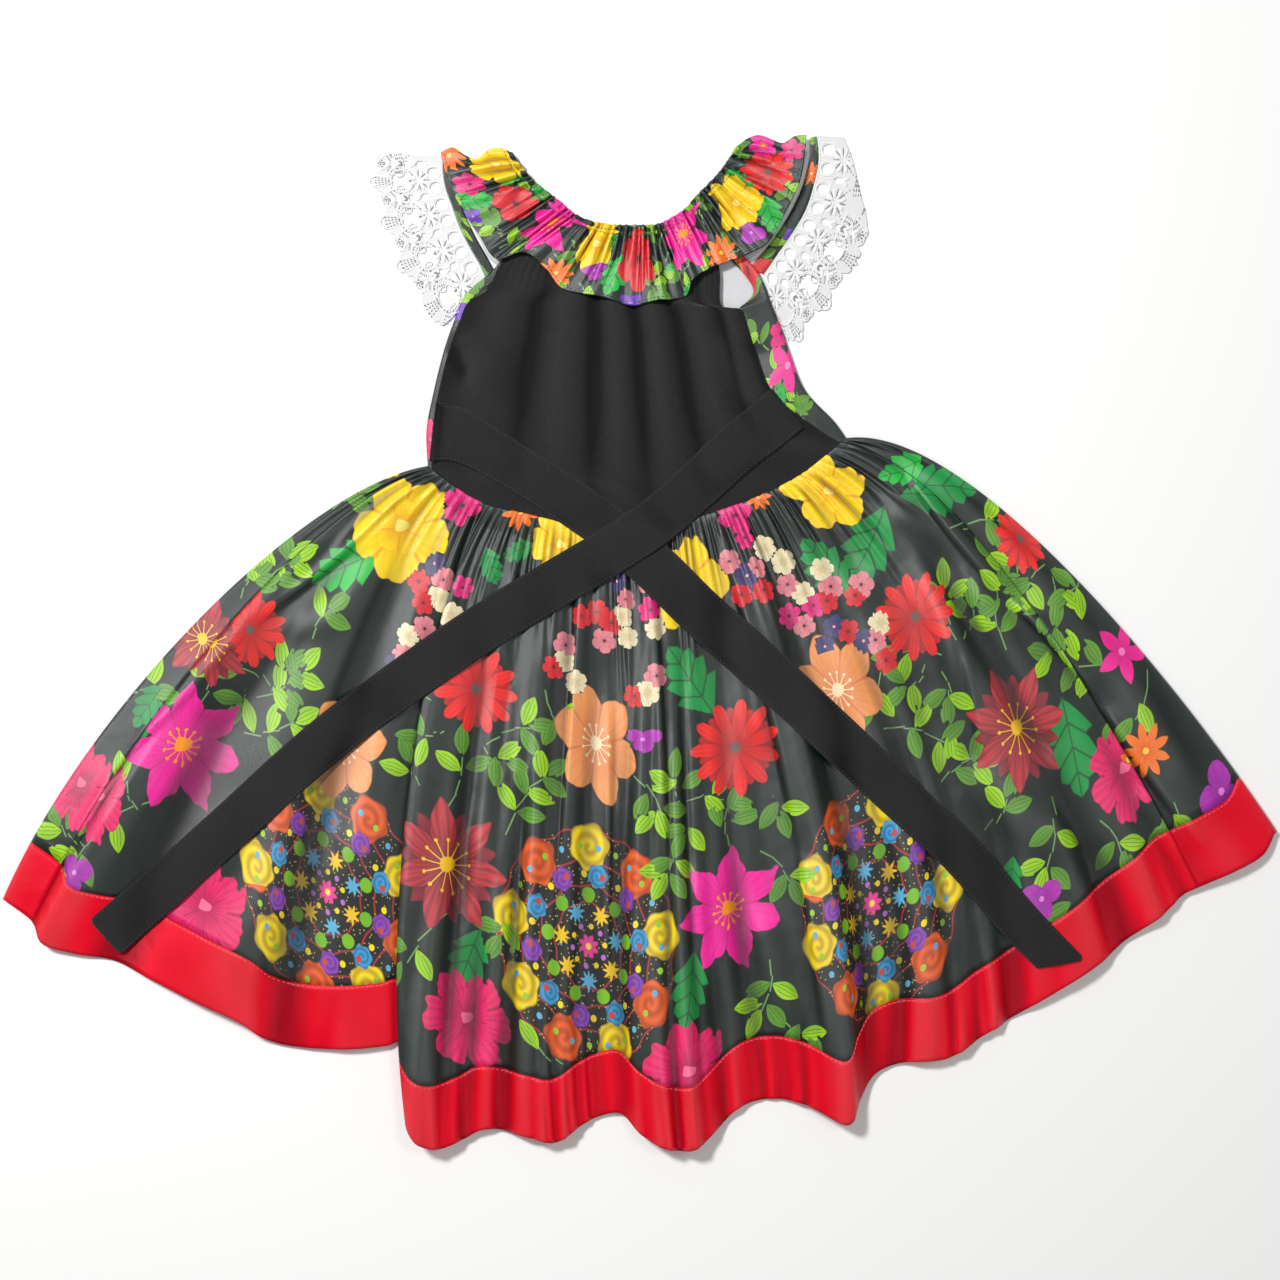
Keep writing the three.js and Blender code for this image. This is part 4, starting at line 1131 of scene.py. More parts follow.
# %% Kinds of flower
BLOOMS = {
    "magenta_lily": ((7, 1.15, 0.42, 0.45), 0.34, 0.26, 0.0,
                     (252, 14, 160), (206, 4, 126), (252, 150, 10)),
    "maroon_lily": ((7, 1.15, 0.56, 0.85), 0.14, 0.38, 1.0,
                    (196, 54, 62), (108, 24, 34), (250, 196, 10)),
    "red_dahlia": ((11, 2.2, 0.62, 0.4), 0.07, 0.0, 1.0,
                   (248, 34, 26), (150, 24, 30), (112, 84, 76)),
    "pink_peony": ((6, 3.5, 0.24, 0.55), 0.42, 0.0, 0.6,
                   (244, 26, 108), (168, 6, 72), (250, 110, 150)),
    "yellow_bloom": ((5, 2.6, 0.26, 0.25), 0.3, 0.0, 0.5,
                     (255, 220, 6), (242, 158, 4), (255, 238, 120)),
    "peach_lily": ((6, 1.6, 0.34, 0.3), 0.12, 0.3, 0.0,
                   (242, 158, 88), (214, 116, 66), (252, 226, 180)),
    "orchid_drop": ((3, 1.5, 0.5, 0.4), 0.12, 0.0, 0.4,
                    (184, 44, 180), (130, 26, 140), (226, 130, 220)),
    "violet_bell": ((4, 1.4, 0.5, 0.4), 0.12, 0.0, 0.4,
                    (112, 48, 190), (74, 28, 140), (180, 130, 230)),
    "orange_star": ((9, 1.3, 0.52, 0.3), 0.08, 0.0, 0.5,
                    (248, 124, 10), (222, 74, 6), (255, 200, 60)),
    "pink_star": ((5, 1.0, 0.62, 0.15), 0.06, 0.0, 0.0,
                  (246, 20, 150), (200, 8, 120), (250, 120, 190)),
    "rose": ((5, 3.0, 0.24, 0.3), 0.14, 0.0, 0.5,
             (228, 138, 146), (186, 84, 100), (50, 30, 40)),
    "cream": ((6, 3.0, 0.2, 0.4), 0.2, 0.0, 0.6,
              (240, 228, 188), (200, 176, 126), (226, 200, 140)),
    "navy": ((5, 3.0, 0.24, 0.1), 0.12, 0.0, 0.4,
             (66, 58, 112), (40, 34, 74), (240, 160, 170)),
    "scarlet": ((6, 2.6, 0.28, 0.4), 0.16, 0.0, 0.5,
                (224, 32, 40), (158, 14, 28), (90, 10, 20)),
    "fuchsia": ((6, 2.0, 0.34, 0.35), 0.12, 0.0, 0.4,
                (236, 28, 128), (168, 8, 86), (70, 10, 40)),
}


def bloom(kind, px, py, size, turn=0.0, squeeze=1.0):
    """A flower of a kind, its middle at a pixel of the picture. Size is its radius in mm."""
    form, ruffle, stamens, rings, outer, inner, heart = BLOOMS[kind]
    values = {
        "bloom_form": form,
        "bloom_outer": (*srgb(*outer)[:3], ruffle),
        "bloom_inner": (*srgb(*inner)[:3], rings),
        "bloom_heart": (*srgb(*heart)[:3], stamens),
    }
    return "bloom_at", on_table(px, py), turn, (size * squeeze, size), values


print("kinds of flower:", len(BLOOMS))

# %% [markdown]
# A small leaf is a striped lens, and a big one has lobes and side veins. A sprig is a bowed
# stem with pairs of leaves and one at its tip. Each stem is laid in short straight pieces,
# which bend with the folds.

# %% Leaves, stems and sprigs
LIME, DULL = (156, 212, 0), (98, 156, 40)
LEAF_GREEN, DEEP_GREEN = (14, 184, 60), (8, 148, 66)
STRIPED, VEINED = 0.0, 1.0


def leaf(px, py, length, turn, wide=0.5, tone=LIME, kind=STRIPED, lobes=0.0):
    """A leaf with its middle at a pixel. Turn 0 points its tip to the right."""
    values = {
        "leaf_form": (wide, lobes, kind, 1),
        "leaf_tone": (*srgb(*tone)[:3], 1),
    }
    return "leaf_at", on_table(px, py), turn, (length / 2, length / 2), values


def big_leaf(px, py, length, turn, tone=LEAF_GREEN):
    return leaf(px, py, length * 1.3, turn, 0.6, tone, VEINED, 0.36)


STEM_REACH = 14.0  # mm of the longest straight piece of a stem
STEM_LAP = 1.12  # pieces of a stem are a little longer than their share, so they overlap
BOW = 0.1  # how far the middle of a stem stands off, as a share of its length
LEAF_SPREAD = 62  # degrees from a stem to a leaf on it


def bowed(start, end, share):
    """A place on the bowed line between two pixels, and how far the line has turned there."""
    way = end - start
    aside = np.array([-way[1], way[0]])
    bow = BOW if int(start.sum()) % 2 else -BOW
    turned = -math.degrees(math.atan(math.pi * bow * math.cos(math.pi * share)))
    return start + way * share + aside * bow * math.sin(math.pi * share), turned


def stem(start, end):
    """A thin bowed stem between two pixels, in short straight pieces."""
    length = np.hypot(*(end - start)) * PICTURE_WIDTH / PICTURE
    parts = max(3, round(length / STEM_REACH))
    knots = [np.array(on_table(*bowed(start, end, k / parts)[0])) for k in range(parts + 1)]
    for near, far in zip(knots, knots[1:]):
        way = far - near
        turn = math.degrees(math.atan2(way[1], way[0]))
        yield "stem_at", (near + far) / 2, turn, (np.hypot(*way) * STEM_LAP / 2, STEM_REACH / 2), {}


def sprig(x0, y0, x1, y1, pairs, size):
    """A stem from one pixel to another, with pairs of leaves along it and one at its tip."""
    start, end = np.array([x0, y0], float), np.array([x1, y1], float)
    turn = math.degrees(math.atan2(y0 - y1, x1 - x0))
    yield from stem(start, end)
    reach = size / 2 * PICTURE / PICTURE_WIDTH
    tones = (LIME, DULL)
    for k in range(pairs):
        root, turned = bowed(start, end, (k + 1) / (pairs + 0.25))
        for side in (1, -1):
            angle = math.radians(turn + turned + side * LEAF_SPREAD)
            at = root + reach * np.array([math.cos(angle), -math.sin(angle)])
            tone = tones[(k + (side < 0)) % 2]
            yield leaf(*at, size, math.degrees(angle), tone=tone)
    angle = math.radians(turn + bowed(start, end, 1)[1])
    at = end + reach * 0.9 * np.array([math.cos(angle), -math.sin(angle)])
    yield leaf(*at, size, math.degrees(angle), tone=tones[pairs % 2])


print("motifs in a short sprig of two pairs:", len(list(sprig(0, 0, 60, 0, 2, 20.0))))

# %% [markdown]
# Large flowers stand between sprigs of leaves, with loose posies of small flowers below the
# waist, and rich round medallions of dots and rosettes along the hem. A row is a kind, a
# pixel of the picture, a radius in mm, a turn, and how narrow the flower is.

# %% The skirt's layout
SKIRT_BLOOMS = [
    ("magenta_lily", 182, 748, 44, 12, 1.1), ("magenta_lily", 728, 908, 43, 8, 1.0),
    ("maroon_lily", 450, 866, 47, 20, 1.0), ("maroon_lily", 1018, 730, 44, 35, 0.9),
    ("red_dahlia", 252, 628, 27, 0, 1.0), ("red_dahlia", 478, 692, 31, 10, 1.0),
    ("red_dahlia", 736, 748, 34, 0, 1.0), ("red_dahlia", 912, 616, 30, 20, 1.0),
    ("red_dahlia", 1022, 538, 24, 20, 0.8), ("maroon_lily", 205, 636, 36, 40, 0.8),
    ("pink_peony", 203, 905, 34, 0, 1.0), ("pink_peony", 468, 1020, 34, 30, 1.0),
    ("pink_peony", 690, 1068, 34, 10, 1.1), ("pink_peony", 1122, 770, 32, 0, 0.9),
    ("pink_peony", 84, 782, 30, 0, 0.8), ("yellow_bloom", 402, 528, 38, 10, 1.0),
    ("yellow_bloom", 560, 545, 26, 0, 1.0), ("yellow_bloom", 690, 585, 34, 40, 1.0),
    ("yellow_bloom", 830, 492, 30, 0, 1.0), ("orchid_drop", 643, 738, 16, 90, 0.6),
    ("orchid_drop", 1042, 900, 17, 90, 0.9), ("orchid_drop", 1220, 790, 22, 30, 0.9),
    ("orchid_drop", 76, 872, 15, 200, 1.0), ("pink_star", 1125, 652, 22, 30, 1.0),
    ("orange_star", 1143, 752, 19, 0, 1.0), ("magenta_lily", 1190, 625, 26, 0, 1.0),
    ("orange_star", 520, 508, 14, 0, 1.0), ("fuchsia", 462, 506, 16, 0, 1.0),
    ("fuchsia", 735, 515, 15, 0, 1.0), ("orange_star", 760, 498, 10, 0, 1.0),
    ("peach_lily", 596, 745, 44, 15, 0.72), ("peach_lily", 838, 692, 42, 20, 0.8),
    ("peach_lily", 345, 745, 38, -20, 0.8),
]
POSIES = [
    (438, 598, 8), (622, 616, 11), (756, 568, 9), (826, 604, 12), (646, 690, 3),
    (566, 662, 4), (404, 655, 4), (876, 640, 4),
]
SKIRT_LEAVES = [
    (345, 566, 46, 25), (512, 612, 44, 35), (492, 568, 24, 110), (690, 682, 48, -55),
    (868, 548, 50, 62), (826, 566, 40, -50), (942, 484, 42, 175), (1074, 748, 52, 100),
    (470, 960, 40, 70), (692, 992, 44, 80), (520, 552, 22, 20), (385, 492, 24, 200),
    (150, 702, 30, 55), (1010, 880, 26, 80), (905, 470, 30, 20),
]
SPRIGS = [
    (200, 703, 214, 668, 1), (230, 668, 272, 690, 0), (272, 690, 288, 668, 1),
    (246, 690, 240, 704, 1), (244, 735, 296, 722, 2), (162, 797, 72, 864, 2),
    (262, 592, 292, 560, 2), (238, 600, 252, 574, 1), (446, 728, 424, 736, 1),
    (448, 805, 464, 758, 1), (488, 744, 530, 728, 1), (482, 745, 502, 762, 1),
    (506, 832, 548, 778, 3), (633, 775, 660, 812, 2), (682, 808, 676, 780, 1),
    (668, 808, 724, 800, 1), (729, 845, 730, 812, 1), (770, 798, 778, 808, 1),
    (690, 818, 688, 830, 1), (672, 848, 668, 870, 2), (950, 530, 996, 521, 1),
    (1046, 565, 1022, 588, 1), (1022, 588, 1014, 562, 1), (1053, 565, 1056, 596, 1),
    (1006, 650, 1000, 586, 3), (1122, 658, 1052, 654, 3), (1152, 670, 1130, 716, 1),
    (940, 655, 902, 652, 1), (925, 665, 908, 686, 1), (958, 640, 944, 590, 2),
    (965, 640, 972, 610, 1), (940, 672, 948, 700, 1), (882, 728, 944, 742, 2),
    (1050, 796, 1044, 872, 2), (1042, 930, 1040, 912, 1), (770, 960, 762, 1010, 2),
    (772, 1010, 800, 1040, 1), (470, 905, 408, 960, 1), (90, 846, 62, 822, 1),
    (440, 700, 420, 690, 1), (1168, 800, 1172, 836, 1), (1000, 470, 1040, 500, 1),
    (560, 1060, 540, 1046, 0), (505, 905, 500, 930, 1), (140, 806, 128, 780, 0),
    (1100, 560, 1070, 590, 1), (940, 780, 975, 760, 2), (212, 585, 196, 620, 1),
    (310, 640, 330, 610, 1), (118, 700, 150, 690, 1), (255, 700, 300, 672, 2),
    (545, 690, 560, 722, 1), (430, 790, 410, 762, 1), (880, 660, 872, 700, 1),
    (985, 830, 1005, 800, 1), (1100, 820, 1120, 850, 1), (1150, 560, 1180, 596, 1),
    (760, 850, 790, 880, 1), (540, 500, 566, 512, 0),
    (960, 440, 990, 446, 1), (330, 500, 352, 488, 1), (1040, 470, 1066, 480, 0),
]
POSY_STEP = 13.0  # pixels from one flower of a posy to the next
POSY_TURN = 2.4  # radians between them, the angle at which seeds of a daisy lie
POSY_KINDS = ("rose", "cream", "scarlet", "fuchsia", "rose", "navy", "cream", "scarlet")
SPRIG_LEAF = 22.5
MEDALS = [(326, 890, 66, 78, 8), (590, 948, 70, 82, 0), (872, 902, 68, 80, -10)]
random = np.random.default_rng(7)


def posy(px, py, count):
    """A loose handful of small flowers."""
    for k in range(count):
        angle = POSY_TURN * k + random.uniform(0, 0.6)
        far = POSY_STEP * math.sqrt(k)
        at = px + far * math.cos(angle), py + far * math.sin(angle)
        kind = POSY_KINDS[(k + px) % len(POSY_KINDS)]
        yield bloom(kind, *at, random.uniform(8.2, 9.8), 40 * k)


def skirt_motifs():
    for kind, px, py, size, turn, squeeze in SKIRT_BLOOMS:
        yield bloom(kind, px, py, size, turn, squeeze)
    for px, py, count in POSIES:
        yield from posy(px, py, count)
    for px, py, length, turn in SKIRT_LEAVES:
        yield big_leaf(px, py, length, turn, LEAF_GREEN if px % 2 else DEEP_GREEN)
    for x0, y0, x1, y1, pairs in SPRIGS:
        yield from sprig(x0, y0, x1, y1, pairs, SPRIG_LEAF)
    for px, py, wide, high, turn in MEDALS:
        yield "medal_at", on_table(px, py), turn, (wide, high), {}


SKIRT_PRINT = list(skirt_motifs())
print("motifs on the skirt:", len(SKIRT_PRINT))

# %% [markdown]
# The ruffle, the turned strips and the bands are cut from a smaller part of the same print,
# so their flowers are little and close together.

# %% The ruffle's and the strips' layout
RUFFLE_BLOOMS = [
    ("orange_star", 450, 156, 13, 0, 1.0), ("yellow_bloom", 496, 166, 22, 30, 0.8),
    ("fuchsia", 470, 184, 10, 0, 1.2), ("scarlet", 515, 205, 18, 20, 0.8),
    ("magenta_lily", 552, 226, 27, 0, 1.0), ("violet_bell", 474, 219, 7, 0, 1.0),
    ("yellow_bloom", 598, 246, 24, 0, 0.75), ("orchid_drop", 594, 272, 11, 90, 0.7),
    ("orange_star", 556, 273, 14, 40, 0.8), ("scarlet", 640, 260, 23, 0, 0.75),
    ("magenta_lily", 682, 236, 26, 20, 0.95), ("yellow_bloom", 736, 204, 23, -20, 0.9),
    ("orchid_drop", 750, 234, 11, 60, 0.8), ("orange_star", 722, 254, 13, 0, 1.0),
    ("red_dahlia", 768, 174, 19, 0, 1.0), ("magenta_lily", 764, 146, 12, 0, 0.9),
    ("violet_bell", 630, 303, 7, 0, 1.5), ("fuchsia", 790, 150, 9, 0, 1.0),
]
RUFFLE_LEAVES = [
    (474, 200, 24, 175), (512, 180, 20, 60), (540, 188, 16, 80), (616, 276, 26, 60),
    (612, 240, 18, 100), (742, 180, 22, 160), (772, 216, 26, 110), (672, 270, 12, 30),
    (690, 292, 16, 60),
]
RUFFLE_SPRIGS = [
    (505, 238, 492, 226, 1), (492, 238, 486, 224, 1), (528, 208, 532, 194, 1),
    (500, 250, 512, 246, 1), (536, 250, 526, 244, 1), (556, 258, 554, 244, 0),
    (572, 240, 574, 256, 1), (652, 258, 660, 278, 1), (660, 250, 662, 232, 1),
    (690, 262, 682, 272, 1), (704, 226, 700, 210, 1), (726, 160, 734, 150, 1),
    (752, 150, 760, 160, 0), (784, 180, 790, 190, 1), (640, 286, 656, 290, 1),
    (792, 160, 784, 168, 1), (580, 284, 584, 296, 0), (464, 186, 458, 196, 0),
    (740, 250, 728, 252, 1), (630, 226, 646, 232, 1), (566, 286, 556, 290, 0),
    (806, 150, 800, 140, 0), (670, 246, 664, 262, 0), (712, 246, 702, 254, 1),
]
FRONT_MOTIFS = [
    ("pink_star", 787, 366, 19, 20, 1.0), ("fuchsia", 783, 332, 11, 0, 0.9),
    ("orange_star", 735, 252, 9, 0, 1.0), ("scarlet", 748, 272, 12, 0, 1.3),
    ("violet_bell", 452, 312, 9, 0, 1.0), ("pink_peony", 428, 440, 14, 0, 1.0),
    ("orange_star", 812, 172, 9, 0, 1.0), ("violet_bell", 797, 240, 6, 0, 1.0),
]
FRONT_LEAVES = [(782, 393, 16, 70)]
FRONT_SPRIGS = [
    (776, 356, 757, 336, 1), (772, 352, 774, 340, 0), (778, 400, 776, 388, 1),
    (786, 410, 794, 402, 1), (752, 300, 748, 288, 1), (768, 378, 778, 366, 1),
    (806, 420, 800, 408, 1), (752, 276, 758, 268, 1), (470, 296, 462, 290, 1),
    (820, 156, 820, 134, 1), (790, 252, 784, 240, 1), (766, 268, 760, 260, 1),
    (456, 210, 458, 220, 1), (468, 250, 464, 240, 0), (478, 294, 470, 286, 1),
    (800, 222, 796, 230, 0), (454, 276, 452, 290, 1),
]
SMALL_LEAF = 14.0


def small_motifs(blooms, leaf_rows, sprig_rows):
    for kind, px, py, size, turn, squeeze in blooms:
        yield bloom(kind, px, py, size, turn, squeeze)
    for px, py, length, turn in leaf_rows:
        yield big_leaf(px, py, length, turn)
    for x0, y0, x1, y1, pairs in sprig_rows:
        yield from sprig(x0, y0, x1, y1, pairs, SMALL_LEAF)


RUFFLE_PRINT = list(small_motifs(RUFFLE_BLOOMS, RUFFLE_LEAVES, RUFFLE_SPRIGS))
BODICE_PRINT = list(small_motifs(FRONT_MOTIFS, FRONT_LEAVES, FRONT_SPRIGS))
print("motifs on the ruffle:", len(RUFFLE_PRINT), "and on the front strips:", len(BODICE_PRINT))

# %% [markdown]
# The printed satin is one finish. Its ground is a green black, cloudy as printed cloth is.
# Over it lie stems, leaves, flowers and medallions, each drawn by sums on the place within
# the motif. The weave is too fine to draw, so it is a slight bump along the cloth.


# %% Flower, leaf and stem
DISC = 0.13  # the round middle of a flower, in radii
STAMENS = 13
THREAD, KNOB = 0.011, 0.0009  # half of a stamen's width, and its knob's squared radius
STAMEN_WIDTH = 0.48  # from turns between stamens to a width, at one radius
VEINS, VEIN_SLANT = 2.1, 0.9  # side veins of half a leaf, and how far they lean to its tip
STEM_HALF = 0.1  # half of a stem's width, in radii of its piece


def petals(f, turns, radius, form, scale, phase):
    """How far inside a ring of petals a place is, and how near to a petal's middle."""
    count, blunt, notch = form
    cell = f.math("FRACT", turns * count + phase)
    side = abs(cell - 0.5) * 2
    return (1 - side**blunt * notch) * scale - radius, side


def flower(f, ground):
    """Three rings of petals, one over the other, with a disc and stamens in the middle."""
    at = f.attribute("bloom_at")
    x, y, _ = f.split(at)
    form_color = f.attribute("bloom_form", "Color")
    count, blunt, notch = f.split(form_color)
    streaks = f.attribute("bloom_form", "Alpha")
    outer, ruffle = f.attribute("bloom_outer", "Color"), f.attribute("bloom_outer", "Alpha")
    inner, rings = f.attribute("bloom_inner", "Color"), f.attribute("bloom_inner", "Alpha")
    heart, stamens = f.attribute("bloom_heart", "Color"), f.attribute("bloom_heart", "Alpha")
    radius = f.math("SQRT", x * x + y * y)
    turns = f.math("ARCTAN2", y, x) / (2 * math.pi)
    cloud = f.noise(f.scale(at, 3.1), 1.0)
    radius = radius + (cloud - 0.5) * ruffle
    behind = f.math("GREATER_THAN", rings, 0.95) * 0.82
    core = f.math("FRACT", rings)
    colour = ground
    for scale, phase, shade in ((behind, 0.5, 0.85), (0.98, 0.0, 0.0), (core, 0.5, 0.15)):
        inside, side = petals(f, turns, radius, (count, blunt, notch), scale, phase)
        cover = f.cover(inside, 45.0)
        outline = 1 - f.cover(inside, 24.0)
        fold = f.math("MULTIPLY", 1 - side, 7.0, clamp=True)
        stripe = f.math("SINE", side * 17 + radius * 5) * 0.5 + 0.5
        stripe = f.math("MULTIPLY", stripe, streaks, clamp=True)
        light = f.math("MULTIPLY", radius / scale + 0.3 - shade, fold, clamp=True)
        light = light * (1 - outline * 0.7) * (1 - stripe * 0.7)
        tint = f.mix(light, inner, outer)
        colour = f.mix(cover, colour, tint)
    disc = f.cover(DISC - radius, 40.0)
    aside = abs(f.math("FRACT", turns * STAMENS) - 0.5) * radius * STAMEN_WIDTH
    thread = f.cover(THREAD - aside, 200.0) * f.cover(stamens - radius, 40.0)
    knob = f.cover(KNOB - (aside * aside + (radius - stamens) ** 2), 2500.0)
    gold = f.math("MAXIMUM", f.math("MAXIMUM", thread, knob), disc)
    return f.mix(gold, colour, heart)


def leaves(f, ground):
    """A leaf with a midrib, and either two long stripes or lobes with side veins."""
    at = f.attribute("leaf_at")
    x, y, _ = f.split(at)
    wide, lobes, kind = f.split(f.attribute("leaf_form", "Color"))
    tone = f.attribute("leaf_tone", "Color")
    off = abs(y)
    taper = 1 - x * x
    slanted = (x + off * VEIN_SLANT) * VEINS
    wave = abs(f.math("FRACT", slanted) - 0.5) * 2
    half = wide * taper * (1 - wave * lobes)
    inside = half - off
    cover = f.cover(inside, 30.0)
    midrib = f.cover(0.022 - off, 90.0)
    rib = f.math("FRACT", slanted + 0.5)
    veins = f.cover(0.09 - abs(rib - 0.5), 18.0) * kind
    long_vein = f.cover(0.028 - abs(off - half * 0.46), 60.0) * f.cover(0.6 - abs(x), 9.0)
    lines = f.math("MAXIMUM", midrib, f.math("MAXIMUM", veins, long_vein * (1 - kind)))
    shade = f.math("MULTIPLY", y * 3 + 0.35, 1.0, clamp=True) * 0.28
    deep = f.mix(1.0, tone, srgb(140, 170, 130), "MULTIPLY")
    colour = f.mix(shade, tone, deep)
    colour = f.mix(lines * 0.8, colour, srgb(24, 66, 30))
    return f.mix(cover, ground, colour)


def stems(f, ground):
    x, y, _ = f.split(f.attribute("stem_at"))
    line = f.cover(STEM_HALF - abs(y), 14.0) * f.cover(1.0 - abs(x), 20.0)
    return f.mix(line, ground, srgb(120, 168, 96))


print("layers under the medallions:", ", ".join(f.__name__ for f in (flower, leaves, stems)))

# %% [markdown]
# A medallion is rings of dots, rosettes and stars on a darker round, with thin wavy coral
# lines between. Each ring has its own count, size and pair of colours that take turns.

# %% Medallion
DOT, ROSETTE, STAR = 0, 1, 2
MEDAL_RINGS = [
    (0.83, 9, 0.205, ROSETTE, (248, 220, 6), (236, 96, 20)),
    (0.83, 27, 0.03, DOT, (90, 176, 216), (150, 206, 30)),
    (0.6, 10, 0.105, ROSETTE, (56, 160, 216), (140, 66, 190)),
    (0.6, 20, 0.032, DOT, (196, 70, 60), (248, 220, 20)),
    (0.43, 9, 0.068, DOT, (120, 190, 20), (112, 180, 30)),
    (0.29, 7, 0.078, STAR, (90, 176, 216), (240, 196, 20)),
    (0.17, 10, 0.026, DOT, (240, 210, 20), (180, 110, 200)),
]
CORAL_LINES = ((0.72, 9, 0.02), (0.51, 10, 0.016), (0.36, 9, 0.014), (0.96, 18, 0.02))


def ring(f, colour, radius, turns, row):
    """One ring of a medallion, laid over what it has so far."""
    middle, count, size, kind, first, second = row
    cell = turns * count + 100.25
    aside = (f.math("FRACT", cell) - 0.5) * (2 * math.pi * middle / count)
    off = radius - middle
    away = f.math("SQRT", aside * aside + off * off) / size
    even = f.math("FRACT", f.math("FLOOR", cell) * 0.5) * 2
    tint = f.mix(even, srgb(*first), srgb(*second))
    if kind != DOT:
        around = f.math("ARCTAN2", off, aside)
    if kind == ROSETTE:
        curl = f.math("SINE", away * 13 + around) * 0.5 + 0.5
        deep = f.mix(1.0, tint, srgb(205, 190, 190), "MULTIPLY")
        tint = f.mix(curl, tint, deep)
        away = away + f.math("SINE", around * 6) * 0.07
    if kind == STAR:
        away = away * (1.25 - f.math("COSINE", around * 8) * 0.42)
    return f.mix(f.cover(1 - away, 9.0), colour, tint)


def medallion(f, ground):
    at = f.attribute("medal_at")
    x, y, _ = f.split(at)
    radius = f.math("SQRT", x * x + y * y)
    turns = f.math("ARCTAN2", y, x) / (2 * math.pi)
    scallop = abs(f.math("SINE", turns * (11 * math.pi))) * 0.05
    inside = f.cover(0.95 + scallop - radius, 60.0)
    colour = f.mix(inside, ground, srgb(26, 24, 26))
    for middle, waves, sway in CORAL_LINES:
        wave = f.math("SINE", turns * (2 * math.pi * waves)) * sway
        line = f.cover(0.011 - abs(radius - middle - wave), 160.0)
        colour = f.mix(line, colour, srgb(168, 44, 44))
    seeds = f.node(
        "ShaderNodeTexVoronoi", {"voronoi_dimensions": "2D"}, {"Vector": at, "Scale": 15.0}
    )
    specks = f.cover(0.12 - seeds, 14.0) * inside
    colour = f.mix(specks, colour, srgb(214, 206, 60))
    for row in MEDAL_RINGS:
        colour = ring(f, colour, radius, turns, row)
    petal, _ = petals(f, turns, radius, (8.0, 1.6, 0.4), 0.11, 0.0)
    colour = f.mix(f.cover(petal, 60.0), colour, srgb(240, 60, 150))
    return f.mix(f.cover(0.035 - radius, 60.0), colour, srgb(255, 230, 60))


print("dots, rosettes and stars on a medallion:", sum(row[1] for row in MEDAL_RINGS))

# %% [markdown]
# Satin is smooth and shines, so it has a low roughness and a soft rumple. Crepe is dull and
# grainy, so it has a high one and a bump of short slubs. Both get a painted shade in their
# folds, where little light comes down, and a faint painted highlight on their ridges, and the
# mesh says how deep each place lies.

# %% The three cloths
RUMPLE = 0.0007  # m, the small unevenness of satin that has been folded and worn
WEAVE, WEAVE_DEPTH = 9.0, 0.00003  # radians of its wave to a mm, and its height in m


def satin_bump(f):
    """A fine weave, threads both ways along the cloth, on a soft rumple, as a bump."""
    place = f.attribute("cloth_at")
    u, v, _ = f.split(place)
    weave = f.math("SINE", u * WEAVE) * f.math("SINE", v * WEAVE)
    rumple = f.noise(f.scale(place, 0.035), 2.0)
    return f.bump(rumple + weave * (WEAVE_DEPTH / RUMPLE), RUMPLE)


def painted_fold_shade_and_highlight(f, colour, dark, light):
    """Painted shade darkens the colour in folds, and a painted highlight lightens it on ridges."""
    relief = f.attribute("relief", "Fac")
    # dark and light set how strong the painted shade and the painted highlight are
    low = f.math("MULTIPLY", relief * -1, dark, clamp=True)
    high = f.math("MULTIPLY", relief, light, clamp=True)
    # painted shade: the colour in a fold is multiplied by a grey
    colour = f.mix(low, colour, f.mix(1.0, colour, srgb(120, 120, 124), "MULTIPLY"))
    # painted highlight: the colour on a ridge is screened with a grey
    return f.mix(high, colour, f.mix(1.0, colour, srgb(150, 150, 150), "SCREEN"))


def printed_satin():
    f = Finish("printed_satin", Roughness=0.32, Specular_IOR_Level=0.65)
    place = f.attribute("cloth_at")
    cloud = f.noise(f.scale(place, 0.012), 3.0)
    colour = f.mix(cloud, srgb(12, 23, 18), srgb(25, 41, 33))
    colour = medallion(f, colour)
    colour = stems(f, colour)
    colour = leaves(f, colour)
    colour = flower(f, colour)
    # painted shade in the folds of the satin, and a faint painted highlight on its ridges
    colour = painted_fold_shade_and_highlight(f, colour, 0.9, 0.1)
    wrong = f.attribute("wrong_side", "Fac")
    colour = f.mix(wrong, colour, srgb(206, 206, 208))
    f.into("Base Color", colour)
    f.into("Roughness", 0.28 + cloud * 0.1 + wrong * 0.3)
    f.into("Normal", satin_bump(f))
    return f


def red_satin():
    f = Finish("red_satin", Roughness=0.27, Specular_IOR_Level=1.0)
    f.shader.inputs["Specular Tint"].default_value = srgb(255, 110, 130)
    place = f.attribute("cloth_at")
    cloud = f.noise(f.scale(place, 0.03), 2.0)
    # painted shade in the folds of the ribbon, and a faint painted highlight on its ridges
    f.into("Base Color", painted_fold_shade_and_highlight(f, f.mix(cloud, srgb(212, 0, 20), srgb(238, 0, 38)), 0.7, 0.1))
    f.into("Normal", satin_bump(f))
    return f


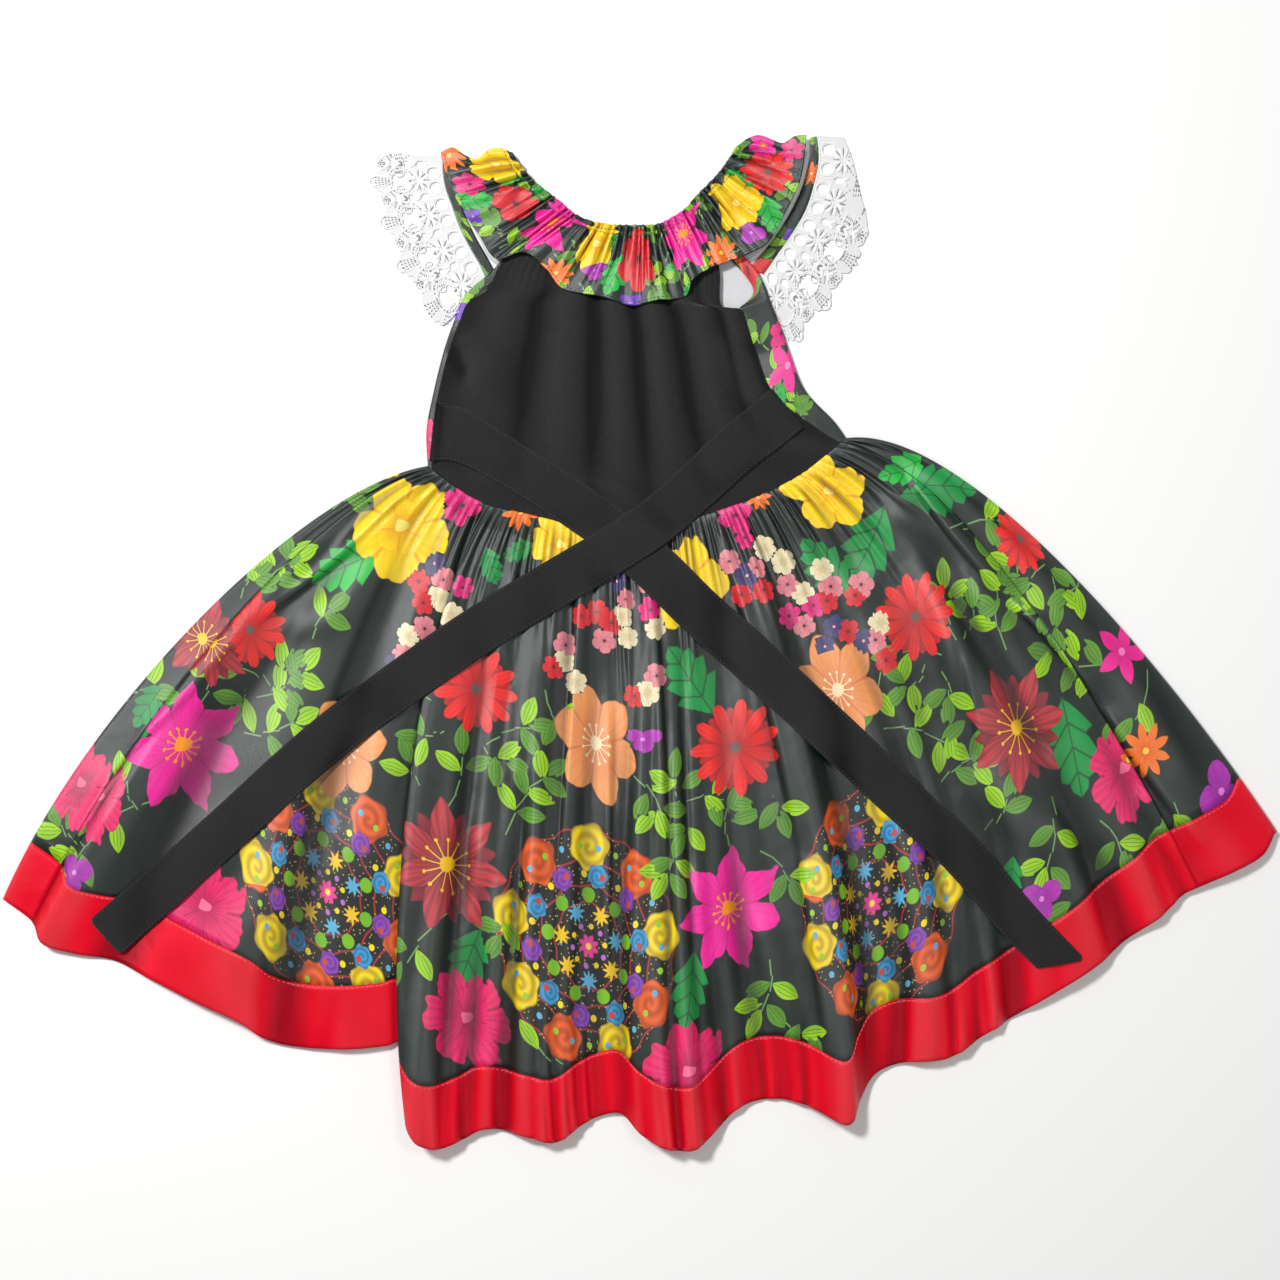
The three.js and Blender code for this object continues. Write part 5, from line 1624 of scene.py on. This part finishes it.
def black_crepe():
    f = Finish("black_crepe", Roughness=0.88, Specular_IOR_Level=0.25)
    f.shader.inputs["Sheen Weight"].default_value = 0.12
    f.shader.inputs["Sheen Roughness"].default_value = 0.5
    place = f.attribute("cloth_at")
    grain = f.noise(f.scale(place, 1.3), 3.0)
    streak = f.node("ShaderNodeMapping", inputs={"Vector": place, "Scale": (1.1, 0.16, 1.0)})
    slub = f.noise(streak, 2.0)
    colour = f.mix(grain * 0.5 + slub * 0.5, srgb(15, 15, 16), srgb(45, 45, 46))
    # painted shade in the folds of the crepe, and the faintest painted highlight on its ridges
    f.into("Base Color", painted_fold_shade_and_highlight(f, colour, 1.0, 0.02))
    f.into("Normal", f.bump(grain + slub, 0.0004))
    return f


PRINTED, RED, BLACK = printed_satin(), red_satin(), black_crepe()
for cloth in (PRINTED, RED, BLACK):
    print(cloth.material.name, "nodes:", len(cloth.tree.nodes))

# %% [markdown]
# Now the panels themselves. The skirt and its ribbon come from one grid, parted at the seam,
# and share their normals, so that no step shows between them.

# %% Skirt and ribbon
BODY = slice(0, BACK_STEPS + 1)
BAND = slice(BACK_STEPS, None)
back_out = out_of_cloth(back_grid)
shell("skirt_back", back_grid[:, BODY], PRINTED, back_out[:, BODY],
      motifs=SKIRT_PRINT)
shell("hem_ribbon_back", back_grid[:, BAND], RED, back_out[:, BAND])
front_out = out_of_cloth(front_grid)
FRONT_BODY, FRONT_BAND = slice(0, FRONT_STEPS + 1), slice(FRONT_STEPS, None)
shell("skirt_front", front_grid[:, FRONT_BODY], PRINTED,
      front_out[:, FRONT_BODY], right_side=-1, motifs=SKIRT_PRINT)
shell("hem_ribbon_front", front_grid[:, FRONT_BAND], RED,
      front_out[:, FRONT_BAND], right_side=-1)
print("points in a line down the back of the skirt:", back_grid.shape[1])

# %% [markdown]
# The other panels each have a grid of their own. The crepe's soft folds are broad, so the
# cloth around a point is taken wider there.

# %% Bodice, ruffle and bands
shell("bodice_back", bodice_back_grid, BLACK, right_side=-1, reach=9)
shell("bodice_front", bodice_front_grid, PRINTED, motifs=BODICE_PRINT)
shell("neck_ruffle_back", ruffle_grid, PRINTED, motifs=RUFFLE_PRINT)
shell("neck_ruffle_front", under_ruffle_grid, PRINTED, right_side=-1,
      motifs=[])
for side, grid in band_grids.items():
    shell(f"armhole_band_{side}", grid, PRINTED,
          right_side=1 if side == "left" else -1, motifs=BODICE_PRINT)
print("shells so far:", len(pieces))

# %% [markdown]
# The ties are folded crepe, sewn flat, that lie over everything else. Their height comes from
# the cloth below: rays drop from above onto the finished shells, and the highest of the near
# hits carries the tie. Two smoothing passes keep it from copying every tuck.


# %% Ties
def ground_below(names):
    """A function of places on the table that gives the height of the named pieces there."""
    trees = []
    for name in names:
        mesh = pieces["dress_" + name].data
        points = [v.co[:] for v in mesh.vertices]
        faces = [p.vertices[:] for p in mesh.polygons]
        trees.append(BVHTree.FromPolygons(points, faces))

    def height(x, y):
        start = ((x + ORIGIN[0]) * MM, (y + ORIGIN[1]) * MM, 0.1)
        hits = [tree.ray_cast(start, (0, 0, -1))[0] for tree in trees]
        return max([hit.z / MM for hit in hits if hit], default=0.0)

    return height


def spread_up(heights, reach):
    """The highest value within reach steps along and one step across, softened afterwards."""
    highest = np.maximum.reduce([np.roll(heights, k, 0) for k in range(-reach, reach + 1)])
    wide = np.pad(highest, ((0, 0), (1, 1)), "edge")
    highest = np.maximum.reduce([wide[:, k:k + heights.shape[1]] for k in range(3)])
    long = np.pad(highest, ((reach, reach), (0, 0)), "edge")
    return sum(long[k:k + len(heights)] for k in range(2 * reach + 1)) / (2 * reach + 1)


TIE_WALL = 1.6
TIE_GAP = 0.15  # mm from a tie to the cloth below it
TIE_WAVE = 0.35  # mm that a tie lifts between two of its resting places
TIE_BEAT = 2.3  # radians of that wave to a row of the tie's table
TIE_SOFT = 4  # steps along a tie over which it bridges what lies below
TIE_FALL = 0.6  # share of its wall by which the fold at a tie's edge falls
END_ROUND = np.array([0, 1.2, 5.0])  # mm by which the last steps get narrower
TIE_SIDES = np.array([-0.5, -0.49, -0.46, -0.4, -0.25, 0.0, 0.25, 0.4, 0.46, 0.49, 0.5])
TIE_DROP = np.array([0.75, 0.35, 0.1, 0.16, 0.0, 0.0, 0.0, 0.16, 0.1, 0.35, 0.75])
tie_grids = {}


def tie(side, line, end_slant, below, count):
    """A tie along a middle line, in count steps, on top of the pieces named below."""
    last = len(line["x"]) - 1
    at = np.linspace(0, last, count)
    here = np.stack([along(line["x"], at), along(line["y"], at)], -1)
    ahead = unit(np.gradient(here, axis=0))
    aside = np.stack([-ahead[:, 1], ahead[:, 0]], -1)
    width = along(line["width"], at)[:, None, None]
    width[-3:] -= END_ROUND[:, None, None]
    slant = (end_slant * smooth(at, last - 1, last))[:, None, None]
    plan = here[:, None] + aside[:, None] * TIE_SIDES[:, None] * width
    plan = plan + ahead[:, None] * TIE_SIDES[:, None] * slant
    height = ground_below(below)
    heights = np.array([[height(x, y) for x, y in line_across] for line_across in plan])
    z = spread_up(heights, TIE_SOFT) + TIE_GAP + TIE_WALL - CLOTH / 2
    lift = TIE_WAVE * np.sin(at * TIE_BEAT)[:, None] * np.sin(np.pi * (TIE_SIDES + 0.5))
    z = z - TIE_DROP * TIE_WALL * TIE_FALL + np.abs(lift)
    grid = np.concatenate([plan, z[..., None]], -1)[:, ::-1]
    tie_grids[side] = grid
    shell(f"tie_{side}", grid, BLACK, right_side=right_side_of(grid))


def right_side_of(grid):
    """1 where a grid's normals point up, and -1 where they point down."""
    return 1 if out_of_cloth(grid)[..., 2].mean() > 0 else -1


UNDER_TIES = ["skirt_back", "hem_ribbon_back", "bodice_back", "bodice_front"]
tie("left", LEFT_TIE, end_slant=15, below=UNDER_TIES, count=260)
tie("right", RIGHT_TIE, end_slant=0, below=[*UNDER_TIES, "tie_left"], count=300)
print("top of the ties in mm:", round(max(grid[..., 2].max() for grid in tie_grids.values()), 1))

# %% [markdown]
# Stitches show as short raised threads: a pale row where the ribbon is sewn on, two rows that
# hold the neck elastic and one along the ruffle's loose edge, and dark rows just inside the
# edges of the ties and the bands. Each stitch is a small bead with sunken ends, and all those
# of a piece are one mesh.


# %% Sewing
STITCH_RINGS = ((-0.5, 0.25, -0.12), (-0.28, 0.95, 0.0), (0.28, 0.95, 0.0), (0.5, 0.25, -0.12))
RING = np.arange(4)
THREAD_LIFT = 0.08  # mm that a stitch stands off the cloth
STITCH_SIDES = np.concatenate([
    np.stack([4 * r + RING, 4 * r + 4 + RING, 4 * r + 4 + (RING + 1) % 4, 4 * r + (RING + 1) % 4], 1)
    for r in range(3)
] + [[[0, 1, 2, 3], [15, 14, 13, 12]]])


def thread(name, dark, light):
    """The finish of a sewing thread, whose colour goes from dark to light in small random patches.
    """
    f = Finish(name, Roughness=0.6)
    place = f.node("ShaderNodeTexCoord", output="Object")
    patches = f.noise(f.scale(place, 2600.0), 1.0)
    f.into("Base Color", f.mix(patches, srgb(*dark), srgb(*light)))
    f.into("Normal", f.bump(patches, 0.0002))
    return f


def sew(name, lines, finish, pitch=3.4, long=2.3, thick=0.6):
    """Stitches along lines of middle points of cloth, as one mesh."""
    beads = []
    for points, out in lines:
        points = points + out * (CLOTH / 2 + THREAD_LIFT)
        steps = np.linalg.norm(np.diff(points, axis=0), axis=1)
        reach = np.concatenate([[0], np.cumsum(steps)])
        middle = np.arange(pitch, reach[-1] - pitch / 2, pitch)

        def read(values, at):
            return np.stack([np.interp(at, reach, values[:, k]) for k in range(3)], -1)

        way = unit(read(points, middle + long / 2) - read(points, middle - long / 2))
        rings = []
        for share, girth, sunk in STITCH_RINGS:
            up = unit(read(out, middle + share * long))
            aside = unit(np.cross(way, up))
            spot = read(points, middle + share * long) + up * sunk
            half = girth * thick / 2
            rings.append([spot + side * half for side in (aside, up, -aside, -up)])
        beads.append(np.array(rings).transpose(2, 0, 1, 3).reshape(-1, 3))
    points = np.concatenate(beads)
    starts = np.arange(0, len(points), 16)[:, None, None]
    faces = (STITCH_SIDES[None] + starts).reshape(-1, 4)
    piece = mesh_from(name, points, faces, finish)
    print(f"{name}: {len(starts)} stitches")
    return piece


def row_of(grid, place, out=None):
    """A line across a grid, place steps down it, with the direction up out of the cloth."""
    normal = out_of_cloth(grid) if out is None else out
    if normal[..., 2].mean() < 0:
        normal = -normal
    low = int(place)
    f = place - low
    return lerp(grid[:, low], grid[:, low + 1], f), lerp(normal[:, low], normal[:, low + 1], f)


PALE_THREAD = thread("pale_thread", (206, 70, 84), (240, 130, 136))
GREEN_THREAD = thread("green_thread", (44, 54, 50), (86, 100, 94))
BLACK_THREAD = thread("black_thread", (40, 40, 42), (74, 74, 76))
front_right = front_grid[-(RIGHT_WRAP + len(ROLL)):]  # the strip that turns up on the right
sewn = {
    "hem_ribbon_back": sew("stitches_hem_back", [row_of(back_grid, BACK_STEPS + 0.5, back_out)],
                           PALE_THREAD),
    "hem_ribbon_front": sew("stitches_hem_front", [row_of(front_right, FRONT_STEPS + 0.5)],
                            PALE_THREAD),
    "neck_ruffle_back": sew(
        "stitches_neck", [row_of(ruffle_grid, at) for at in (4.5, 8.0, 57.5)],
        GREEN_THREAD, 2.8, 1.9, 0.5),
}
for side in ("left", "right"):
    lines = [row_of(tie_grids[side], at) for at in (2, 8)]
    sewn[f"tie_{side}"] = sew(f"stitches_tie_{side}", lines, BLACK_THREAD,
                              3.0, 2.1, 0.5)
    lines = [row_of(band_grids[side], at) for at in (1.0, 4.8)]
    sewn[f"armhole_band_{side}"] = sew(f"stitches_band_{side}", lines, GREEN_THREAD,
                                       2.6, 1.8, 0.45)

# %% [markdown]
# The lace is guipure: thick satin stitched shapes joined by bars, with nothing between. The
# solids already are its plates, with the large gaps cut through. Here cords, petals and lobes
# are raised on them, and the narrow gaps between are low ovals in a painted shade of grey,
# where a real hole would be in shade, so they need no cutting. Each shape is drawn once, in mm
# along and out from the armhole band.

# %% Places on the lace
LACE_WALL = 1.1
CORD_LIFT = 0.08  # mm from the plate to the middle of a cord
SEAM = 0.4  # mm between pieces that are sewn together
REPEAT = 23.0  # mm of band to a repeat of the pattern
PAST_END = 0.05  # share of a band's length that gives the way past its end
LACE_REACH = {"left": (-0.25, 4.0), "right": (-0.1, 4.9)}  # repeats that a plate holds
REPEATS = range(-1, 6)  # all that could touch a plate
SLACK = 0.05  # of a repeat that a shape may pass the ends of its plate
PAST_EDGE, PAST_SEAM = 1.0, 0.5  # mm that it may pass the sides


def lace_spot(band, rows, repeat, out):
    """The place of a point of the lace: repeats along the band, and mm out from it."""
    share = np.linspace(0, 1, 19) * (len(band["outX"]) - 1)
    rim = np.stack([along(band["outX"], share), along(band["outY"], share)], -1)
    lengths = np.concatenate([[0], np.cumsum(np.linalg.norm(np.diff(rim, axis=0), axis=1))])
    lengths /= lengths[-1]

    def edge(at):
        return np.stack([np.interp(at, lengths, rim[:, k]) for k in (0, 1)], -1)

    at = along(rows["at"], np.asarray(repeat, float) + 1)
    inside = np.clip(at, 0, 1)
    step = np.sign(at - inside) * PAST_END
    past = (np.abs(at - inside) / PAST_END)[..., None]
    start = edge(inside) + (edge(inside) - edge(inside - step)) * past
    turn = np.radians(along(rows["angle"], np.asarray(repeat, float) + 1))
    way = np.stack([np.cos(turn), np.sin(turn)], -1)
    return start + way * (np.asarray(out) + SEAM)[..., None]


print("a place at the left lace's edge:", lace_spot(LEFT_BAND, LEFT_LACE, [1.0], [40.0]).round(1))

# %% [markdown]
# Satin stitch heaps thread over a shape, so its middle stands high and its rim is round. A
# pad is an oval of rings that rise to the middle, and a cord is a tube along a line. What
# would pass the edge of the plate is left out, as the lace is cut along whole shapes.


# %% Raised work
class Relief:
    """Raised work on the lace: its points and faces are gathered into one mesh."""

    def __init__(self, band, rows, first, last):
        self.band, self.rows, self.first, self.last = band, rows, first, last
        self.points, self.faces, self.slits, self.count = [], [], [], 0

    def keeps(self, repeat, out):
        """Whether all of a shape lies on the plate that the solid has."""
        depth = along(self.rows["depth"], repeat + 1)
        inside = (repeat > self.first - SLACK) & (repeat < self.last + SLACK)
        return bool(np.all(inside & (out < depth + PAST_EDGE) & (out > -PAST_SEAM)))

    def grid(self, points, closed, slit=0.0):
        rings, around = points.shape[:2]
        i, j = np.meshgrid(np.arange(rings - 1), np.arange(around - (not closed)),
                           indexing="ij")
        i, j = i.ravel(), j.ravel()
        after = (j + 1) % around
        quads = np.stack([i * around + j, i * around + after,
                          (i + 1) * around + after, (i + 1) * around + j], 1)
        self.points.append(points.reshape(-1, 3))
        self.faces.append(quads + self.count)
        self.slits.append(np.full(rings * around, slit))
        self.count += rings * around

    def pad(self, k, centre, long, wide, turn, high=0.9, sides=14, slit=0.0):
        """A raised oval, satin stitched across. Turn 0 points out from the band."""
        angle = np.linspace(0, 2 * np.pi, sides, endpoint=False)
        rings = np.array([1.0, 0.94, 0.7, 0.35, 0.04])
        rise = np.array([-0.5, 0.35, 0.85, 1.0, 1.02]) * high
        t = np.radians(turn)
        x = np.cos(angle) * long / 2
        y = np.sin(angle) * wide / 2
        out = centre[1] + rings[:, None] * (x * np.cos(t) - y * np.sin(t))
        side = centre[0] + rings[:, None] * (x * np.sin(t) + y * np.cos(t))
        repeat = k + side / REPEAT
        if not self.keeps(repeat, out):
            return
        plan = lace_spot(self.band, self.rows, repeat, out)
        z = np.broadcast_to((LACE_WALL + rise)[:, None], out.shape)
        self.grid(np.concatenate([plan, z[..., None]], -1), True, slit)

    def slit(self, k, out, reach, lean, long, wide=0.75):
        """A narrow gap in shade, drawn as a low dark oval. Reach and lean are from a centre."""
        centre = REPEAT / 2 + reach * math.sin(lean), out + reach * math.cos(lean)
        self.pad(k, centre, long, wide, math.degrees(lean), 0.1, 8, 1.0)

    def cord(self, k, side, out, thick, closed=True):
        """A stitched cord along a line of places."""
        side, out = np.broadcast_arrays(np.asarray(side, float), np.asarray(out, float))
        repeat = k + side / REPEAT
        if not self.keeps(repeat, out):
            return
        plan = lace_spot(self.band, self.rows, repeat, out)
        ahead = np.roll(plan, -1, 0) - np.roll(plan, 1, 0)
        way = unit(ahead if closed else np.gradient(plan, axis=0))
        aside = np.stack([-way[:, 1], way[:, 0]], -1)
        angle = np.linspace(0, 2 * np.pi, 6, endpoint=False)
        ring = plan[None] + aside[None] * (np.cos(angle) * thick / 2)[:, None, None]
        z = LACE_WALL + CORD_LIFT + np.sin(angle) * thick / 2
        z = np.broadcast_to(z[:, None], ring.shape[:2])
        tube = np.concatenate([ring, z[..., None]], -1)
        self.grid(np.concatenate([tube, tube[:1]]), closed)

    def ring(self, k, centre, wide, deep, thick=0.8, sides=26):
        angle = np.linspace(0, 2 * np.pi, sides, endpoint=False)
        self.cord(k, centre[0] + np.cos(angle) * wide / 2,
                  centre[1] + np.sin(angle) * deep / 2, thick)


print("shapes of raised work: pads, slits, cords and rings")

# %% [markdown]
# The pattern repeats along the band: a heading with a ladder and two ringed gaps, a daisy of
# eight petals, and a fan of five leaves that ends in a scallop.

# %% Pattern of the lace
LADDER_STEP = 2.1
DAISY_OUT, GAP_OUT = 17.0, 29.0
LOBES = [(-78, 12.0), (-40, 14.5), (0, 15.5), (40, 14.5), (78, 12.0)]


def heading(work, k):
    """The edge that is sewn to the band: two cords, a ladder and two ringed ovals."""
    half = REPEAT / 2
    for out, thick in ((0.7, 0.9), (11.6, 0.6)):
        work.cord(k, np.linspace(0, REPEAT, 12), np.full(12, out), thick, closed=False)
    for side in np.arange(0, REPEAT, LADDER_STEP):
        if abs((side / half) % 1 - 0.5) > 0.28:
            work.cord(k, np.full(4, side), np.linspace(1.2, 11.2, 4), 0.55, closed=False)
        work.cord(k, np.full(3, side), np.linspace(-0.2, 2.0, 3), 0.5, closed=False)
    for share in (0.26, 0.74):
        work.ring(k, (REPEAT * share, 6.6), 9.2, 9.4, 0.9)


def lobe(work, k, turn, length):
    """A leaf of the fan: an outline cord, and rows of small gaps that spread inside it."""
    angle = math.radians(turn)
    root = 8.6
    middle = root + length / 2
    round_it = np.linspace(0, 2 * np.pi, 20, endpoint=False)
    along_it = middle + np.cos(round_it) * length / 2
    aside = np.sin(round_it) * 4.3 * (0.75 + 0.25 * np.cos(round_it))
    reach, lean = np.hypot(along_it, aside), angle + np.arctan2(aside, along_it)
    centre = REPEAT / 2, GAP_OUT - 2.4
    work.cord(k, centre[0] + reach * np.sin(lean), centre[1] + reach * np.cos(lean), 0.8)
    for spread in (-0.13, -0.045, 0.045, 0.13):
        for step in np.arange(root + 2.2, root + length * (0.9 - abs(spread)), 2.3):
            work.slit(k, centre[1], step, angle + spread, 1.5)


def lace_repeat(work, k):
    """One repeat of the lace, from the heading at the band to the fan at its edge."""
    heading(work, k)
    half = REPEAT / 2
    for petal in range(8):
        turn = petal * 45 + 22.5
        centre = (half + 4.6 * math.sin(math.radians(turn)),
                  DAISY_OUT + 4.6 * math.cos(math.radians(turn)))
        work.pad(k, centre, 6.0, 2.5, turn, 0.9, 10)
        work.slit(k, DAISY_OUT, 5.2, math.radians(petal * 45), 5.2, 0.9)
    work.ring(k, (half, DAISY_OUT), 3.0, 3.0, 0.7, 12)
    work.ring(k, (half, GAP_OUT), 15.2, 15.2, 0.9)
    work.ring(k, (half, GAP_OUT), 19.0, 19.0, 0.6, 30)
    for turn in range(24):
        work.slit(k, GAP_OUT, 8.5, math.radians(15 * turn), 1.3)
    for turn, length in LOBES:
        lobe(work, k, turn, length)
    for out, size in ((20.5, 5.0), (31.5, 6.4), (37.5, 5.0)):
        for lean in (-24, 24):
            side = REPEAT + math.sin(math.radians(lean)) * 2.6
            work.pad(k, (side, out), size, 1.8, lean, 0.8, 10)


print("leaves in a fan:", len(LOBES))

# %% [markdown]
# The raised work of a sleeve is one mesh on its plate. Both are white polyester thread, which
# is matt with a slight sheen. The plate is a little greyer, as it lies in shade.


# %% Lace
def lace_relief(side, band, rows, first, last):
    work = Relief(band, rows, first, last)
    for k in REPEATS:
        lace_repeat(work, k)
    points, faces = np.concatenate(work.points), np.concatenate(work.faces)
    piece = mesh_from(f"lace_work_{side}", points, faces, LACE)
    attribute(piece.data, "slit", "FLOAT", "POINT", np.concatenate(work.slits))
    print(f"lace_work_{side}: {2 * len(faces)} triangles")


def white_lace():
    f = Finish("white_lace", Roughness=0.75)
    f.shader.inputs["Sheen Weight"].default_value = 0.2
    place = f.node("ShaderNodeTexCoord", output="Object")
    x, y, z = f.split(f.scale(place, 1000.0))
    thread = f.math("SINE", (x + y) * 7.0) * f.math("SINE", (x - y) * 2.0)
    low = f.cover(LACE_WALL + 0.12 - z, 12.0)
    plate = f.mix(low, srgb(250, 250, 249), srgb(234, 234, 235))
    # The slits are painted grey: painted shade in the gaps of the lace.
    f.into("Base Color", f.mix(f.attribute("slit", "Fac"), plate, srgb(128, 130, 133)))
    f.into("Normal", f.bump(thread, 0.00012))
    return f


LACE = white_lace()
for side in ("left", "right"):
    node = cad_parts[f"lace_{side}"]
    node.data.materials.clear()
    node.data.materials.append(LACE.material)
lace_relief("left", LEFT_BAND, LEFT_LACE, *LACE_REACH["left"])
lace_relief("right", RIGHT_BAND, RIGHT_LACE, *LACE_REACH["right"])

# %% [markdown]
# The skirt's panels are flared and drawn up at the waist, the ruffle is a straight strip drawn
# up on its elastic, and the rest are cut close to the shape that they show.

# %% [markdown]
# The last cell updates the scene.

# %% Update the scene
bpy.context.view_layer.update()
